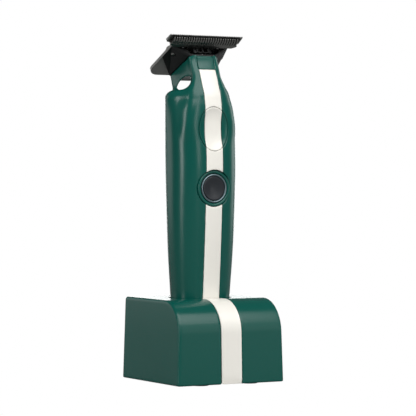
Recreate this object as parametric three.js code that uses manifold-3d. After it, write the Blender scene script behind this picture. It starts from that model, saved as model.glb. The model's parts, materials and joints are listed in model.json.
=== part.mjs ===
// Cordless T-blade hair clipper standing in its charging dock.
// Millimetres, +Z up, front of the object towards -Y.
// Origin: centre of the dock's footprint, on the surface that the dock stands on.
import * as THREE from 'three';
import { mergeVertices } from 'three/addons/utils/BufferGeometryUtils.js';
import Module from 'manifold-3d';

const wasm = await Module();
wasm.setup();

// ---------------------------------------------------------------- driving dimensions
// Fits
const gap = 0.3;                 // between pieces that touch on the real object
const runningGap = 0.35;         // around a piece that slides or turns

// Dock
const dockWidth = 60.6;
const dockDepth = 61.0;
const dockHeight = 42.4;
const dockDraftDeg = 1.4;        // every side leans in by this much
const dockFrontRound = 16;       // large round between top and front
const dockRearRound = 2.2;
const dockWall = 2.4;
const dockFootLift = 0.6;        // shell edge above the table
const dockStripeWidth = 11.4;
const basePlateThickness = 2.2;
const footRadius = 4.5;
const footThickness = 1.8;
const footGap = 1.9;             // between a foot and the screw beside it
const screwInset = 7.5;          // dock screws in from the footprint's edges
const ballastSize = [36, 36, 5];

// Seat of the clipper in the dock
const socketDepth = 26;
const socketClearance = 0.8;
const socketWall = 1.6;
const socketFloor = 2.5;
const seatY = 2;                 // clipper axis behind the dock's centre

// Clipper body, measured along its own axis from its bottom
const shoulderHeight = 131.9;
const bodyHalfWidth = 18.05;     // at its widest
const footShare = 0.742;         // foot's width, as a share of the widest
const bodyFrontDepth = 15.5;     // axis to front face at its deepest
const bodyRearDepth = 15.8;
const bodyWall = 2.0;
const bodyPower = 2.4;           // superellipse power of the cross-section
const shoulderRound = 5;
const bottomCapHeight = 3.0;
const stripeWidth = 9.3;
const stripeThickness = 1.0;

// Neck, heights above the shoulder
const spineHalfWidth = 8.0;
const neckTopFront = 17.1;       // front edge of the slanted top
const neckTopSlopeDeg = 22.9;
const neckFrontY = -3.3;         // axis to the front edge of the slanted top
const strutThickness = 2.9;
const windowHeight = 6.5;
const windowRearY = 7.6;
const windowFlare = 5.1;         // how far the struts' inner edges stand behind their outer ones
const noseCapDrop = 6.8;         // nose cap's lower end below the neck's front edge

// Head and blades
const bladeSlopeDeg = 32.5;
const bladeEdgeRise = 10.8;      // cutting edge above the neck's front edge
const bladeEdgeForward = 3.7;    // cutting edge ahead of the neck's front edge
const combHalfWidth = 21;
const combLength = 34.8;
const combThickness = 1.6;
const combToothLength = 5.0;
const combToothPitch = 1.05;
const combSlotWidth = 0.45;
const combPlateHalfWidth = 16.4;
const combTailHalfWidth = 19;
const combTailRound = 6;
const cutterThickness = 1.5;
const cutterToothPitch = 1.4;
const cutterSlotWidth = 0.6;
const cutterSetback = 1.2;       // cutter edge behind the comb edge
const cutterTravel = 0.75;       // each way from the middle
const headFrontS = 8.8;          // head block under the comb, along the blade
const headRearS = 20;

// Thumb rest, power button: heights from the clipper's bottom
const thumbHeight = 111.8;
const thumbHalfHeight = 11.2;
const thumbHalfWidth = 8.3;
const thumbThickness = 1.6;
const thumbDishDepth = 1.6;
const buttonHeight = 81.8;
const bezelRadius = 9.2;
const ringRadius = 7.26;
const buttonRadius = 6.1;
const buttonTravel = 0.5;

// Works
const motorSetback = 8.05;         // body's widest side to the motor's
const motorRadius = bodyHalfWidth - motorSetback;
const motorLength = 28;
const collarDepth = 9.2;           // motor's foot below the thumb rest
const shaftRadius = 1.5;
const camRadius = 2.0;
const camOffset = 0.75;
const pinRadius = 1.0;
const cellSetback = 4.3;           // side of the body's foot to the cell's side
const cellRadius = bodyHalfWidth * footShare - cellSetback;
const cellLengths = [65, 50, 35];  // standard lengths
const boardSetback = 9.85;         // body's side to the board's edge
const boardWidth = 2 * (bodyHalfWidth - boardSetback);
const boardThickness = 1.4;
const contactSpacing = 8;
const contactPinRadius = 1.0;
const contactPinTravel = 1.0;

// ---------------------------------------------------------------- materials
const paint = (name, color, roughness, metalness) =>
  new THREE.MeshStandardMaterial({ name, color, roughness, metalness });
const green = () => paint('green lacquer', 0x0f4a3b, 0.3, 0.1);
const cream = () => paint('cream lacquer', 0xf3f1e8, 0.35, 0);
const black = () => paint('black plastic', 0x0d0f0f, 0.45, 0);
const steel = () => paint('dark blade steel', 0x555650, 0.35, 1);
const bright = () => paint('bright steel', 0xb9bdc0, 0.3, 1);
const board = () => paint('circuit board', 0x1c4a2c, 0.5, 0);
const rubber = () => paint('rubber', 0x1a1a1a, 0.9, 0);
const wrap = () => paint('cell wrap', 0x2c5f9e, 0.4, 0);
const brass = () => paint('brass', 0xb5953f, 0.3, 1);
const navy = () => paint('button plastic', 0x1d252c, 0.3, 0);
const pewter = () => paint('button ring', 0x5d757b, 0.35, 0.8);
const grey = () => paint('grey plastic', 0x3b3f42, 0.6, 0);

// ---------------------------------------------------------------- solids
const { Manifold, Mesh } = wasm;

// A three.js geometry becomes a closed solid once its equal corners are one.
function solid(geometry) {
  const bare = geometry.index ? geometry.toNonIndexed() : geometry.clone();
  for (const name of Object.keys(bare.attributes)) {
    if (name !== 'position') bare.deleteAttribute(name);
  }
  const merged = mergeVertices(bare, 1e-4);
  const mesh = new Mesh({
    numProp: 3,
    vertProperties: new Float32Array(merged.attributes.position.array),
    triVerts: new Uint32Array(merged.index.array),
  });
  return new Manifold(mesh);
}

const polygon = (points) => new THREE.Shape(points.map(([a, b]) => new THREE.Vector2(a, b)));
const asShape = (outline) => (Array.isArray(outline) ? polygon(outline) : outline);

function extrude(outline, length, curveSegments = 8) {
  const options = { depth: length, bevelEnabled: false, steps: 1, curveSegments };
  return new THREE.ExtrudeGeometry(asShape(outline), options);
}

// Outline in X and Y, from z0 to z1
function alongZ(outline, z0, z1, curveSegments) {
  return solid(extrude(outline, z1 - z0, curveSegments).translate(0, 0, z0));
}

// Outline in X and Z, from y0 to y1
function alongY(outline, y0, y1, curveSegments) {
  const geometry = extrude(outline, y1 - y0, curveSegments).rotateX(Math.PI / 2);
  return solid(geometry.translate(0, y1, 0));
}

// Outline in Y and Z, from x0 to x1
function alongX(outline, x0, x1, curveSegments) {
  const geometry = extrude(outline, x1 - x0, curveSegments).rotateY(Math.PI / 2);
  return solid(geometry.rotateX(Math.PI / 2).translate(x0, 0, 0));
}

function box([x0, x1], [y0, y1], [z0, z1]) {
  const geometry = new THREE.BoxGeometry(x1 - x0, y1 - y0, z1 - z0);
  return solid(geometry.translate((x0 + x1) / 2, (y0 + y1) / 2, (z0 + z1) / 2));
}

function rodZ(radius, [x, y], z0, z1, sides = 24) {
  const geometry = new THREE.CylinderGeometry(radius, radius, z1 - z0, sides);
  return solid(geometry.rotateX(Math.PI / 2).translate(x, y, (z0 + z1) / 2));
}

function rodY(radius, [x, z], y0, y1, sides = 32) {
  const geometry = new THREE.CylinderGeometry(radius, radius, y1 - y0, sides);
  return solid(geometry.translate(x, (y0 + y1) / 2, z));
}

// Closed solid through a stack of rings that all have the same number of corners.
// Rings run anticlockwise seen from above, lowest first.
function loft(rings) {
  const count = rings[0].length;
  const corners = rings.flat();
  const faces = [];
  for (let level = 0; level + 1 < rings.length; level += 1) {
    for (let side = 0; side < count; side += 1) {
      const next = (side + 1) % count;
      const low = level * count;
      const high = low + count;
      faces.push(low + side, low + next, high + next, low + side, high + next, high + side);
    }
  }
  const capFaces = (start, flip) => {
    const flat = rings[start].map(([x, y]) => new THREE.Vector2(x, y));
    for (const [a, b, c] of THREE.ShapeUtils.triangulateShape(flat, [])) {
      const base = start * count;
      faces.push(base + a, base + (flip ? c : b), base + (flip ? b : c));
    }
  };
  capFaces(0, true);
  capFaces(rings.length - 1, false);
  const geometry = new THREE.BufferGeometry();
  geometry.setAttribute('position', new THREE.Float32BufferAttribute(corners.flat(), 3));
  geometry.setIndex(faces);
  return solid(geometry);
}

function joined(...solids) {
  return solids.reduce((sum, next) => sum.add(next));
}

// Cuts that graze each other can leave specks of no size: only real bodies are kept
const speckVolume = 0.01;
function withoutSpecks(shape) {
  return joined(...shape.decompose().filter((body) => body.volume() > speckVolume));
}

function addPiece(group, name, shape, material) {
  const result = withoutSpecks(shape).getMesh();
  const geometry = new THREE.BufferGeometry();
  geometry.setAttribute('position', new THREE.BufferAttribute(result.vertProperties, 3));
  geometry.setIndex(new THREE.BufferAttribute(result.triVerts, 1));
  geometry.computeVertexNormals();
  const mesh = new THREE.Mesh(geometry, material);
  mesh.name = name;
  group.add(mesh);
}

const sides = [['left', -1], ['right', 1]];
const smallShank = 1.1;           // shank radius of every small screw
const slotWidth = 0.5;
const slotDepth = 0.5;
const radians = THREE.MathUtils.degToRad;

// A screw with a pan head, its shank pointing down from the head's underside at z = 0
function screw(headRadius, headHeight, shankRadius, shankLength) {
  const head = rodZ(headRadius, [0, 0], 0, headHeight, 20);
  const shank = rodZ(shankRadius, [0, 0], -shankLength, 0.2, 12);
  const slot = box(
    [-headRadius, headRadius], [-slotWidth / 2, slotWidth / 2],
    [headHeight - slotDepth, headHeight + 1],
  );
  return head.add(shank).subtract(slot);
}

// ---------------------------------------------------------------- body outline
// Height as a share of the shoulder height, then half-width, front half-width, front depth
// and rear depth, as shares of the widest or deepest section.
const bodyOutline = [
  [0.00, footShare, footShare, 0.652, 0.823],
  [0.222, 0.848, 0.848, 0.758, 0.840],
  [0.345, 0.909, 0.909, 0.837, 0.851],
  [0.537, 0.972, 0.972, 0.939, 0.897],
  [0.728, 0.994, 0.994, 1.000, 0.990],
  [0.844, 1.000, 0.960, 0.939, 1.000],
  [0.920, 1.000, 0.830, 0.880, 1.000],
  [0.962, 1.000, 0.660, 0.800, 1.000],
  [1.020, 1.000, 0.580, 0.720, 1.000],
];

// Smooth value of one column at a height share
function outlineAt(table, column, share) {
  let row = table.findIndex((entry) => entry[0] >= share);
  if (row < 1) row = row < 0 ? table.length - 1 : 1;
  const at = (index) => table[Math.min(Math.max(index, 0), table.length - 1)];
  const [before, from, to, after] = [at(row - 2), at(row - 1), at(row), at(row + 1)];
  const span = to[0] - from[0];
  const t = Math.min(Math.max((share - from[0]) / span, 0), 1);
  const slope = (a, b) => (b[0] === a[0] ? 0 : (b[column] - a[column]) / (b[0] - a[0]));
  const m0 = slope(before, to) * span;
  const m1 = slope(from, after) * span;
  const t2 = t * t;
  const t3 = t2 * t;
  return (2 * t3 - 3 * t2 + 1) * from[column] + (t3 - 2 * t2 + t) * m0
    + (3 * t2 - 2 * t3) * to[column] + (t3 - t2) * m1;
}

// The section narrows ahead of this distance behind the axis
const narrowFrom = 3;
const narrowPower = 1.3;
const curved = (value, power) => Math.sign(value) * Math.abs(value) ** (2 / power);

// Cross-section of the body at a height, grown by an offset
function bodyRing(height, offset, z = height, corners = 36) {
  const share = height / shoulderHeight;
  const half = bodyHalfWidth * outlineAt(bodyOutline, 1, share);
  const frontHalf = bodyHalfWidth * outlineAt(bodyOutline, 2, share);
  const front = bodyFrontDepth * outlineAt(bodyOutline, 3, share) + offset;
  const rear = bodyRearDepth * outlineAt(bodyOutline, 4, share) + offset;
  const ring = [];
  for (let corner = 0; corner < corners; corner += 1) {
    const angle = (2 * Math.PI * corner) / corners;
    const [c, s] = [Math.cos(angle), Math.sin(angle)];
    const y = (s < 0 ? front : rear) * curved(s, bodyPower);
    const forward = Math.max(0, (narrowFrom - y) / (narrowFrom + front)) ** narrowPower;
    ring.push([(half + (frontHalf - half) * forward + offset) * curved(c, bodyPower), y, z]);
  }
  return ring;
}

function steps(from, to, count) {
  return Array.from({ length: count + 1 }, (_, index) => from + ((to - from) * index) / count);
}

// Body up to the rounded shoulder
function bodyTrunk(bottom) {
  const straightTop = shoulderHeight - shoulderRound;
  const rings = steps(bottom, straightTop, 14).map((height) => bodyRing(height, 0));
  for (const turn of [22.5, 45, 67.5, 90]) {
    const inset = shoulderRound * (1 - Math.cos(radians(turn)));
    const rise = shoulderRound * Math.sin(radians(turn));
    rings.push(bodyRing(straightTop, -inset, straightTop + rise));
  }
  return loft(rings);
}

// Spine of the neck: height above the shoulder, half-width, front depth, edge set-back
const spineOutline = [
  [-38.0, 12.0, 11.5, 8.0],
  [-30.3, 14.8, 13.5, 9.4],
  [-20.6, 16.2, 14.5, 9.5],
  [-11.5, 14.8, 14.16, 8.5],
  [-7.5, 13.6, 13.65, 7.5],
  [-3.4, 12.0, 12.62, 6.2],
  [-1.3, 11.1, 12.0, 5.4],
  [0.7, 10.2, 11.33, 4.5],
  [2.8, 9.3, 10.66, 3.5],
  [4.8, 8.5, 9.94, 3.1],
  [6.9, spineHalfWidth, 9.06, 2.9],
  [9.0, spineHalfWidth, 8.1, 2.7],
  [13.2, spineHalfWidth, 5.75, 1.9],
  [neckTopFront + 0.9, spineHalfWidth, 3.2, 1.4],
];
const spineRear = 4.2;

function spineRing(level, corners = 36) {
  const row = (column) => outlineAt(spineOutline, column, level);
  const [half, front, setback] = [row(1), row(2), row(3)];
  const edge = -front + setback;
  const ring = [];
  for (let corner = 0; corner < corners; corner += 1) {
    const angle = (2 * Math.PI * corner) / corners;
    const [c, s] = [Math.cos(angle), Math.sin(angle)];
    const power = s < 0 ? 2.6 : 1.45;
    const reach = s < 0 ? setback : spineRear - edge;
    ring.push([half * curved(c, power), edge + reach * curved(s, power), shoulderHeight + level]);
  }
  return ring;
}

const neckTopZ = (y) =>
  shoulderHeight + neckTopFront - (y - neckFrontY) * Math.tan(radians(neckTopSlopeDeg));

// Everything below the neck's slanted top, moved up or down by a shift
function belowNeckTop(shift) {
  const [near, far] = [-60, 80];
  return alongX([
    [near, -20], [far, -20], [far, neckTopZ(far) + shift], [near, neckTopZ(near) + shift],
  ], -60, 60);
}

// Two rear struts and the bridge over the window
function neckFrame() {
  const rearY = (level) => 16.3 + level * Math.tan(radians(30.3));
  const frameRing = (level) => {
    const half = spineHalfWidth + 0.7 * Math.max(0, 1 - Math.max(level, 0) / 7);
    const [front, rear] = [-5.2, level < 0 ? 16.3 + level * 0.12 : rearY(level)];
    const [middle, reach] = [(front + rear) / 2, (rear - front) / 2];
    const ring = [];
    for (let corner = 0; corner < 28; corner += 1) {
      const angle = (2 * Math.PI * corner) / 28;
      const x = half * curved(Math.cos(angle), 6);
      ring.push([x, middle + reach * curved(Math.sin(angle), 6), shoulderHeight + level]);
    }
    return ring;
  };
  const block = loft([-4, 0, 3.5, 7, 12, 19].map(frameRing));
  const top = shoulderHeight + windowHeight;
  const windowCut = new THREE.Shape();
  windowCut.moveTo(-14, shoulderHeight - 3);
  windowCut.lineTo(windowRearY, shoulderHeight - 3);
  windowCut.lineTo(windowRearY, shoulderHeight + 1.4);
  windowCut.quadraticCurveTo(windowRearY - 4.6, top - 0.9, windowRearY - 11, top - 0.35);
  windowCut.lineTo(-14, top + 0.1);
  const slotHalf = spineHalfWidth + 0.7 - strutThickness;
  const roof = neckTopZ(17) - 1.9;
  const slotCut = alongX([
    [-8, shoulderHeight - 3], [34, shoulderHeight - 3], [34, roof - 6.5], [17, roof], [-8, roof],
  ], -slotHalf, slotHalf);
  const outer = spineHalfWidth + 0.7;
  const flares = sides.map(([, side]) => alongZ([
    [0, windowRearY - 2], [outer, windowRearY], [slotHalf - 0.5, windowRearY + windowFlare],
    [0, windowRearY + windowFlare],
  ], shoulderHeight - 3, shoulderHeight + windowHeight - 1.5).scale([side, 1, 1]));
  return block.subtract(alongX(windowCut, -20, 20)).subtract(slotCut)
    .subtract(joined(...flares));
}

// Outside shape of the body and neck together
const neckShape = joined(loft(spineOutline.map(([level]) => spineRing(level))), neckFrame())
  .intersect(belowNeckTop(0));
const outside = bodyTrunk(bottomCapHeight + gap).add(neckShape);

// Depth of the front surface on the middle line: the body's or the spine's, whichever leads
const frontDepth = (height) => Math.max(
  bodyFrontDepth * outlineAt(bodyOutline, 3, height / shoulderHeight),
  height > shoulderHeight + spineOutline[0][0]
    ? outlineAt(spineOutline, 2, height - shoulderHeight) : 0,
);

// An inlay is the front of a shape inside a slab, one thickness deep; its channel is
// everything in the slab that stands ahead of the channel's floor.
const inlay = (shape, slab, depth) => shape.intersect(slab).subtract(shape.translate(depth));
const channel = (shape, slab, depth) => slab.subtract(shape.translate(depth));
const inlayDepth = [0, stripeThickness, 0];
const channelDepth = [0, stripeThickness + gap, 0];

const oval = (halfWidth, halfHeight, height) => {
  const shape = new THREE.Shape();
  shape.absellipse(0, height, halfWidth, halfHeight, 0, 2 * Math.PI);
  return shape;
};

// ---------------------------------------------------------------- clipper
const clipper = new THREE.Group();
clipper.position.set(0, seatY, dockHeight - socketDepth);

// Inside of the body shell, open at the bottom
function bodyCavity() {
  const top = shoulderHeight - shoulderRound - 1.5;
  const rings = steps(-1, top, 9).map((height) => bodyRing(Math.max(height, 0), -bodyWall, height));
  rings.push(bodyRing(top, -bodyWall - 3, top + 2.5));
  return loft(rings);
}

const noseCapFoot = shoulderHeight + neckTopFront - noseCapDrop;
const stripeHalf = stripeWidth / 2;
const farFront = -40;

// Space that the inlaid stripe and nose cap fill, from one height to another
const stripeSlab = (extra, from, to) => box(
  [-stripeHalf - extra, stripeHalf + extra], [farFront, 0], [from, to],
);
const thumbHole = alongY(oval(thumbHalfWidth, thumbHalfHeight, thumbHeight), farFront, 0, 14);
const buttonHole = rodY(bezelRadius + gap, [0, buttonHeight], farFront, 0);

const shaftBoreRadius = shaftRadius + 0.8;
const bushRadius = 3.0;
const bushLength = 4;
const bushPlay = 0.05;
const bushTop = neckTopZ(0) - 2.4;

function bodyShell() {
  const groove = channel(outside, stripeSlab(gap, -1, shoulderHeight + 40), channelDepth);
  const shaftBore = rodZ(shaftBoreRadius, [0, 0], shoulderHeight - 12, shoulderHeight + 30);
  const bushBore = rodZ(bushRadius + gap, [0, 0], bushTop - bushLength - gap, shoulderHeight + 30);
  let shell = outside.subtract(bodyCavity()).subtract(groove).subtract(thumbHole)
    .subtract(buttonHole).subtract(shaftBore).subtract(bushBore);
  for (const [, side] of sides) shell = shell.subtract(headScrewHole(side));
  return shell;
}

// Head screws stand square to the neck's slanted top
const headScrewX = 5.0;
const headScrewY = 4.9;
const headFloor = 1.4;
const headScrewShank = 5.2;
const headScrewHead = 1.9;
const headScrewRise = 1.2;        // height of its head
function onNeckTop(shape, x, y, lift) {
  const lean = neckTopSlopeDeg;
  return shape.rotate([-lean, 0, 0]).translate([
    x, y + lift * Math.sin(radians(lean)), neckTopZ(y) + lift * Math.cos(radians(lean)),
  ]);
}
function headScrewHole(side) {
  const hole = rodZ(smallShank + gap, [0, 0], -headScrewShank - gap, 8, 16);
  return onNeckTop(hole, side * headScrewX, headScrewY, 0);
}

addPiece(clipper, 'body_shell', bodyShell(), green());

// Stripe inlays and the nose cap that carries the stripe's line to the top
const thumbFrom = thumbHeight - thumbHalfHeight;
const thumbTo = thumbHeight + thumbHalfHeight;
const thumbKeepOut = alongY(
  oval(thumbHalfWidth + gap, thumbHalfHeight + gap, thumbHeight), farFront, 0, 14,
);
const buttonKeepOut = rodY(bezelRadius + 2 * gap, [0, buttonHeight], farFront, 0);
const stripePiece = (from, to) => inlay(outside, stripeSlab(0, from, to), inlayDepth)
  .subtract(thumbKeepOut).subtract(buttonKeepOut);
addPiece(clipper, 'stripe_neck', stripePiece(thumbHeight, noseCapFoot - gap / 2), cream());
addPiece(clipper, 'stripe_middle', stripePiece(buttonHeight, thumbHeight), cream());
addPiece(clipper, 'stripe_lower', stripePiece(bottomCapHeight + gap, buttonHeight), cream());
addPiece(
  clipper, 'nose_cap', stripePiece(noseCapFoot + gap / 2, shoulderHeight + 40), green(),
);

// Dished thumb rest with its own length of stripe
const thumbBody = (() => {
  const plug = alongY(
    oval(thumbHalfWidth - gap, thumbHalfHeight - gap, thumbHeight), farFront, 0, 14,
  );
  const [low, high] = [frontDepth(thumbFrom), frontDepth(thumbTo)];
  const [dishHalfWidth, dishHalfHeight] = [thumbHalfWidth + 0.6, thumbHalfHeight - 0.9];
  const follow = new THREE.Matrix4().makeShear(0, 0, 0, 0, 0, (low - high) / (thumbTo - thumbFrom));
  const place = (geometry) => solid(geometry.applyMatrix4(follow)
    .translate(0, -(low + high) / 2 - 1, thumbHeight));
  const bowl = new THREE.SphereGeometry(1, 32, 20)
    .rotateX(Math.PI / 2).scale(dishHalfWidth, thumbDishDepth + 1, dishHalfHeight);
  const mouth = new THREE.CylinderGeometry(1, 1, 20, 32)
    .translate(0, -10, 0).scale(dishHalfWidth, 1, dishHalfHeight);
  return inlay(outside, plug, [0, thumbThickness + thumbDishDepth, 0])
    .subtract(place(bowl)).subtract(place(mouth));
})();
const thumbSlab = (extra) => stripeSlab(extra, thumbFrom - 5, thumbTo + 5);
addPiece(
  clipper, 'thumb_rest',
  thumbBody.subtract(channel(thumbBody, thumbSlab(gap), channelDepth)), green(),
);
addPiece(clipper, 'stripe_thumb', inlay(thumbBody, thumbSlab(0), inlayDepth), cream());

// Power button in its bezel: faces are set back from the body's crown
const bezelFace = -frontDepth(buttonHeight) + 0.55;
const bezelDepth = 2.6;
const bezelInner = ringRadius + gap;
addPiece(
  clipper, 'button_bezel',
  rodY(bezelRadius, [0, buttonHeight], bezelFace, bezelFace + bezelDepth)
    .subtract(rodY(bezelInner, [0, buttonHeight], bezelFace - 1, bezelFace + bezelDepth + 1)),
  green(),
);
const ringInner = buttonRadius + gap;
addPiece(
  clipper, 'button_ring',
  rodY(ringRadius, [0, buttonHeight], bezelFace - 0.1, bezelFace + bezelDepth)
    .subtract(rodY(ringInner, [0, buttonHeight], bezelFace - 1, bezelFace + bezelDepth + 1)),
  pewter(),
);
const buttonThickness = 1.5;
const buttonFace = bezelFace + 0.1;
const buttonCap = (() => {
  const dishRadius = 22;
  const dish = new THREE.SphereGeometry(dishRadius, 64, 48)
    .translate(0, buttonFace + 0.8 - dishRadius, buttonHeight);
  return rodY(buttonRadius, [0, buttonHeight], buttonFace, buttonFace + buttonThickness)
    .subtract(solid(dish));
})();
addPiece(clipper, 'power_button', buttonCap, navy());

// Circuit board behind the button, with a dome switch
const plungerLength = 1.5;
const switchSize = 4.6;
const switchHeight = 1.7;
const plungerFront = buttonFace + buttonThickness + gap;
const switchFront = plungerFront + buttonTravel + gap;
const boardFront = switchFront + switchHeight + gap;
const boardSpan = [buttonHeight - 27, buttonHeight + 9];
addPiece(
  clipper, 'circuit_board',
  box([-boardWidth / 2, boardWidth / 2], [boardFront, boardFront + boardThickness], boardSpan),
  board(),
);
const plungerRadius = 1.2;
const plungerWell = rodY(
  plungerRadius + gap, [0, buttonHeight],
  switchFront - 1, plungerFront + plungerLength + buttonTravel + gap, 16,
);
addPiece(
  clipper, 'dome_switch',
  box(
    [-switchSize / 2, switchSize / 2], [switchFront, switchFront + switchHeight],
    [buttonHeight - switchSize / 2, buttonHeight + switchSize / 2],
  ).subtract(plungerWell),
  black(),
);
addPiece(
  clipper, 'switch_plunger',
  rodY(plungerRadius, [0, buttonHeight], plungerFront, plungerFront + plungerLength, 16),
  bright(),
);

// Motor behind the thumb rest, its shaft up through the spine
const motorFoot = thumbFrom - collarDepth;
const motorTop = motorFoot + motorLength;
const shaftTop = neckTopZ(0) - 0.3;
addPiece(
  clipper, 'motor_can',
  rodZ(motorRadius, [0, 0], motorFoot, motorTop, 32)
    .add(rodZ(3.2, [0, 0], motorTop - 0.5, motorTop + 1.8, 20))
    .subtract(rodZ(shaftRadius + runningGap, [0, 0], motorTop - 5, motorTop + 3, 20)),
  bright(),
);
addPiece(
  clipper, 'motor_shaft',
  rodZ(shaftRadius, [0, 0], motorTop - 4.5, shaftTop, 20)
    .add(rodZ(camRadius, [0, 0], shaftTop - 0.2, shaftTop + 1.3, 24))
    .add(rodZ(pinRadius, [camOffset, 0], shaftTop + 1.1, shaftTop + 3.1, 16)),
  bright(),
);
addPiece(
  clipper, 'shaft_bush',
  rodZ(bushRadius, [0, 0], bushTop - bushLength, bushTop, 24)
    .subtract(rodZ(shaftRadius + bushPlay, [0, 0], bushTop - bushLength - 1, bushTop + 1, 20)),
  brass(),
);

// Chassis: floor, two rails and the motor's collar
const chassisFloor = bottomCapHeight + 8;
const railInner = cellRadius + 0.9;
const railThickness = 1.2;
const railHalfDepth = 3.5;
const collarWall = 1.8;
const cellY = 1.4;
const collarTop = thumbFrom - gap;
addPiece(
  clipper, 'chassis',
  joined(
    box(
      [-railInner - railThickness, railInner + railThickness],
      [-railHalfDepth, railHalfDepth], [chassisFloor, chassisFloor + 1.6],
    ),
    ...sides.map(([, side]) => box(
      [Math.min(side * railInner, side * (railInner + railThickness)),
        Math.max(side * railInner, side * (railInner + railThickness))],
      [-railHalfDepth, railHalfDepth], [chassisFloor, collarTop],
    )),
    rodZ(motorRadius + gap + collarWall, [0, 0], motorFoot, collarTop, 32),
  ).subtract(rodZ(motorRadius + gap, [0, 0], motorFoot - 1, collarTop + 1, 32)),
  grey(),
);
const cellFoot = chassisFloor + 1.6 + gap;
const cellBay = motorFoot - gap - cellFoot;
const cellLength = cellLengths.find((length) => length <= cellBay);
addPiece(
  clipper, 'battery_cell',
  rodZ(cellRadius, [0, cellY], cellFoot, cellFoot + cellLength - 1, 28)
    .add(rodZ(2.8, [0, cellY], cellFoot + cellLength - 1.2, cellFoot + cellLength, 16)),
  wrap(),
);

// Bottom cap with two charging pads and two screws
const capPlug = 5;
const padRadius = 1.9;
const padRecess = 1.0;
const capScrewHead = 2.2;
const capScrewInset = 4.8;        // from the side of the body's foot
const capScrewReach = 4.59;       // from a pad's middle to the screw beside it
const capScrewX = bodyHalfWidth * footShare - capScrewInset;
const besidePad = capScrewX - contactSpacing / 2;
const capScrewY = Math.sqrt(Math.max(0, capScrewReach ** 2 - besidePad ** 2));
const capScrewSink = 1.6;         // recess for the screw's head
const capRings = [
  bodyRing(bottomCapHeight, -1.2, 0), bodyRing(bottomCapHeight, -0.35, 0.4),
  bodyRing(bottomCapHeight, 0, 1.2), bodyRing(bottomCapHeight, 0, bottomCapHeight),
];
let bottomCap = loft(capRings).add(loft([
  bodyRing(bottomCapHeight, -bodyWall - gap, bottomCapHeight - 0.5),
  bodyRing(bottomCapHeight, -bodyWall - gap, bottomCapHeight + capPlug),
]));
bottomCap = bottomCap.subtract(loft([
  bodyRing(bottomCapHeight, -bodyWall - gap - 1.6, bottomCapHeight + 1),
  bodyRing(bottomCapHeight, -bodyWall - gap - 1.6, bottomCapHeight + capPlug + 1),
]));
for (const [, side] of sides) {
  bottomCap = bottomCap
    .subtract(rodZ(padRadius + gap, [side * contactSpacing / 2, 0], -1, 8, 20))
    .subtract(rodZ(capScrewHead + gap, [side * capScrewX, capScrewY], -1, capScrewSink + gap, 20))
    .subtract(rodZ(smallShank + gap, [side * capScrewX, capScrewY], -1, 8, 16));
}
addPiece(clipper, 'bottom_cap', bottomCap, black());
for (const [name, side] of sides) {
  const x = (side * contactSpacing) / 2;
  const stem = rodZ(padRadius, [x, 0], padRecess, padRecess + 4, 20);
  addPiece(clipper, `charge_pad_${name}`, stem, brass());
  const capScrew = screw(capScrewHead, 1.3, smallShank, 6).rotate([180, 0, 0])
    .translate([side * capScrewX, capScrewY, capScrewSink]);
  addPiece(clipper, `cap_screw_${name}`, capScrew, bright());
}

// ---------------------------------------------------------------- head and blades
// The blade frame: origin at the middle of the cutting edge, y back along the comb,
// z out of the comb's upper face.
const bladeOrigin = [
  0, neckFrontY - bladeEdgeForward, shoulderHeight + neckTopFront + bladeEdgeRise,
];
const bladeLean = radians(bladeSlopeDeg);
const blades = new THREE.Group();
blades.position.set(...bladeOrigin);
blades.rotation.x = -bladeLean;
clipper.add(blades);

// Clipper-frame place of a point in the blade frame
const fromBlade = (x, s, n) => [
  x,
  bladeOrigin[1] + s * Math.cos(bladeLean) + n * Math.sin(bladeLean),
  bladeOrigin[2] - s * Math.sin(bladeLean) + n * Math.cos(bladeLean),
];
// Solid in the blade frame, from one in the clipper's frame
const toBladeFrame = (shape) => shape.translate(bladeOrigin.map((value) => -value))
  .rotate([bladeSlopeDeg, 0, 0]);
const toClipperFrame = (shape) => shape.rotate([-bladeSlopeDeg, 0, 0]).translate(bladeOrigin);

const combTop = combThickness / 2;
const combUnder = -combThickness / 2;

function combPlate() {
  const outline = new THREE.Shape();
  const [tail, round] = [combTailHalfWidth, combTailRound];
  outline.moveTo(-combHalfWidth, 0);
  outline.lineTo(combHalfWidth, 0);
  outline.lineTo(combHalfWidth, 5.4);
  outline.quadraticCurveTo(combHalfWidth, 6.4, combHalfWidth - 1.2, 6.6);
  outline.quadraticCurveTo(combPlateHalfWidth, 7, combPlateHalfWidth, 9.4);
  outline.lineTo(tail, combLength - round - 2);
  outline.quadraticCurveTo(tail, combLength, tail - round - 2, combLength);
  outline.lineTo(-tail + round + 2, combLength);
  outline.quadraticCurveTo(-tail, combLength, -tail, combLength - round - 2);
  outline.lineTo(-combPlateHalfWidth, 9.4);
  outline.quadraticCurveTo(-combPlateHalfWidth, 7, -combHalfWidth + 1.2, 6.6);
  outline.quadraticCurveTo(-combHalfWidth, 6.4, -combHalfWidth, 5.4);
  let plate = alongZ(outline, combUnder, combTop, 5);
  // the upper face is ground down towards the cutting edge
  plate = plate.subtract(alongX([
    [-1, combUnder + 0.45], [combToothLength + 1.5, combTop], [combToothLength + 1.5, combTop + 3],
    [-1, combTop + 3],
  ], -combHalfWidth - 1, combHalfWidth + 1));
  const count = Math.floor((2 * (combHalfWidth - 0.9)) / combToothPitch);
  for (let index = 0; index < count; index += 1) {
    const x = (index - (count - 1) / 2) * combToothPitch;
    const half = combSlotWidth / 2;
    plate = plate.subtract(
      box([x - half, x + half], [-1, combToothLength], [combUnder - 1, combTop + 1]),
    );
  }
  return plate;
}

const bladeScrewX = 13.3;
const bladeScrewS = 15;
const bladeScrewShank = 1.8;
const bladeScrewHead = 2.9;
const bladeScrewRadius = 1.1;
const springHalfSpan = 10;
const cutterTop = combUnder - gap;
const cutterUnder = cutterTop - cutterThickness;

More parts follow.
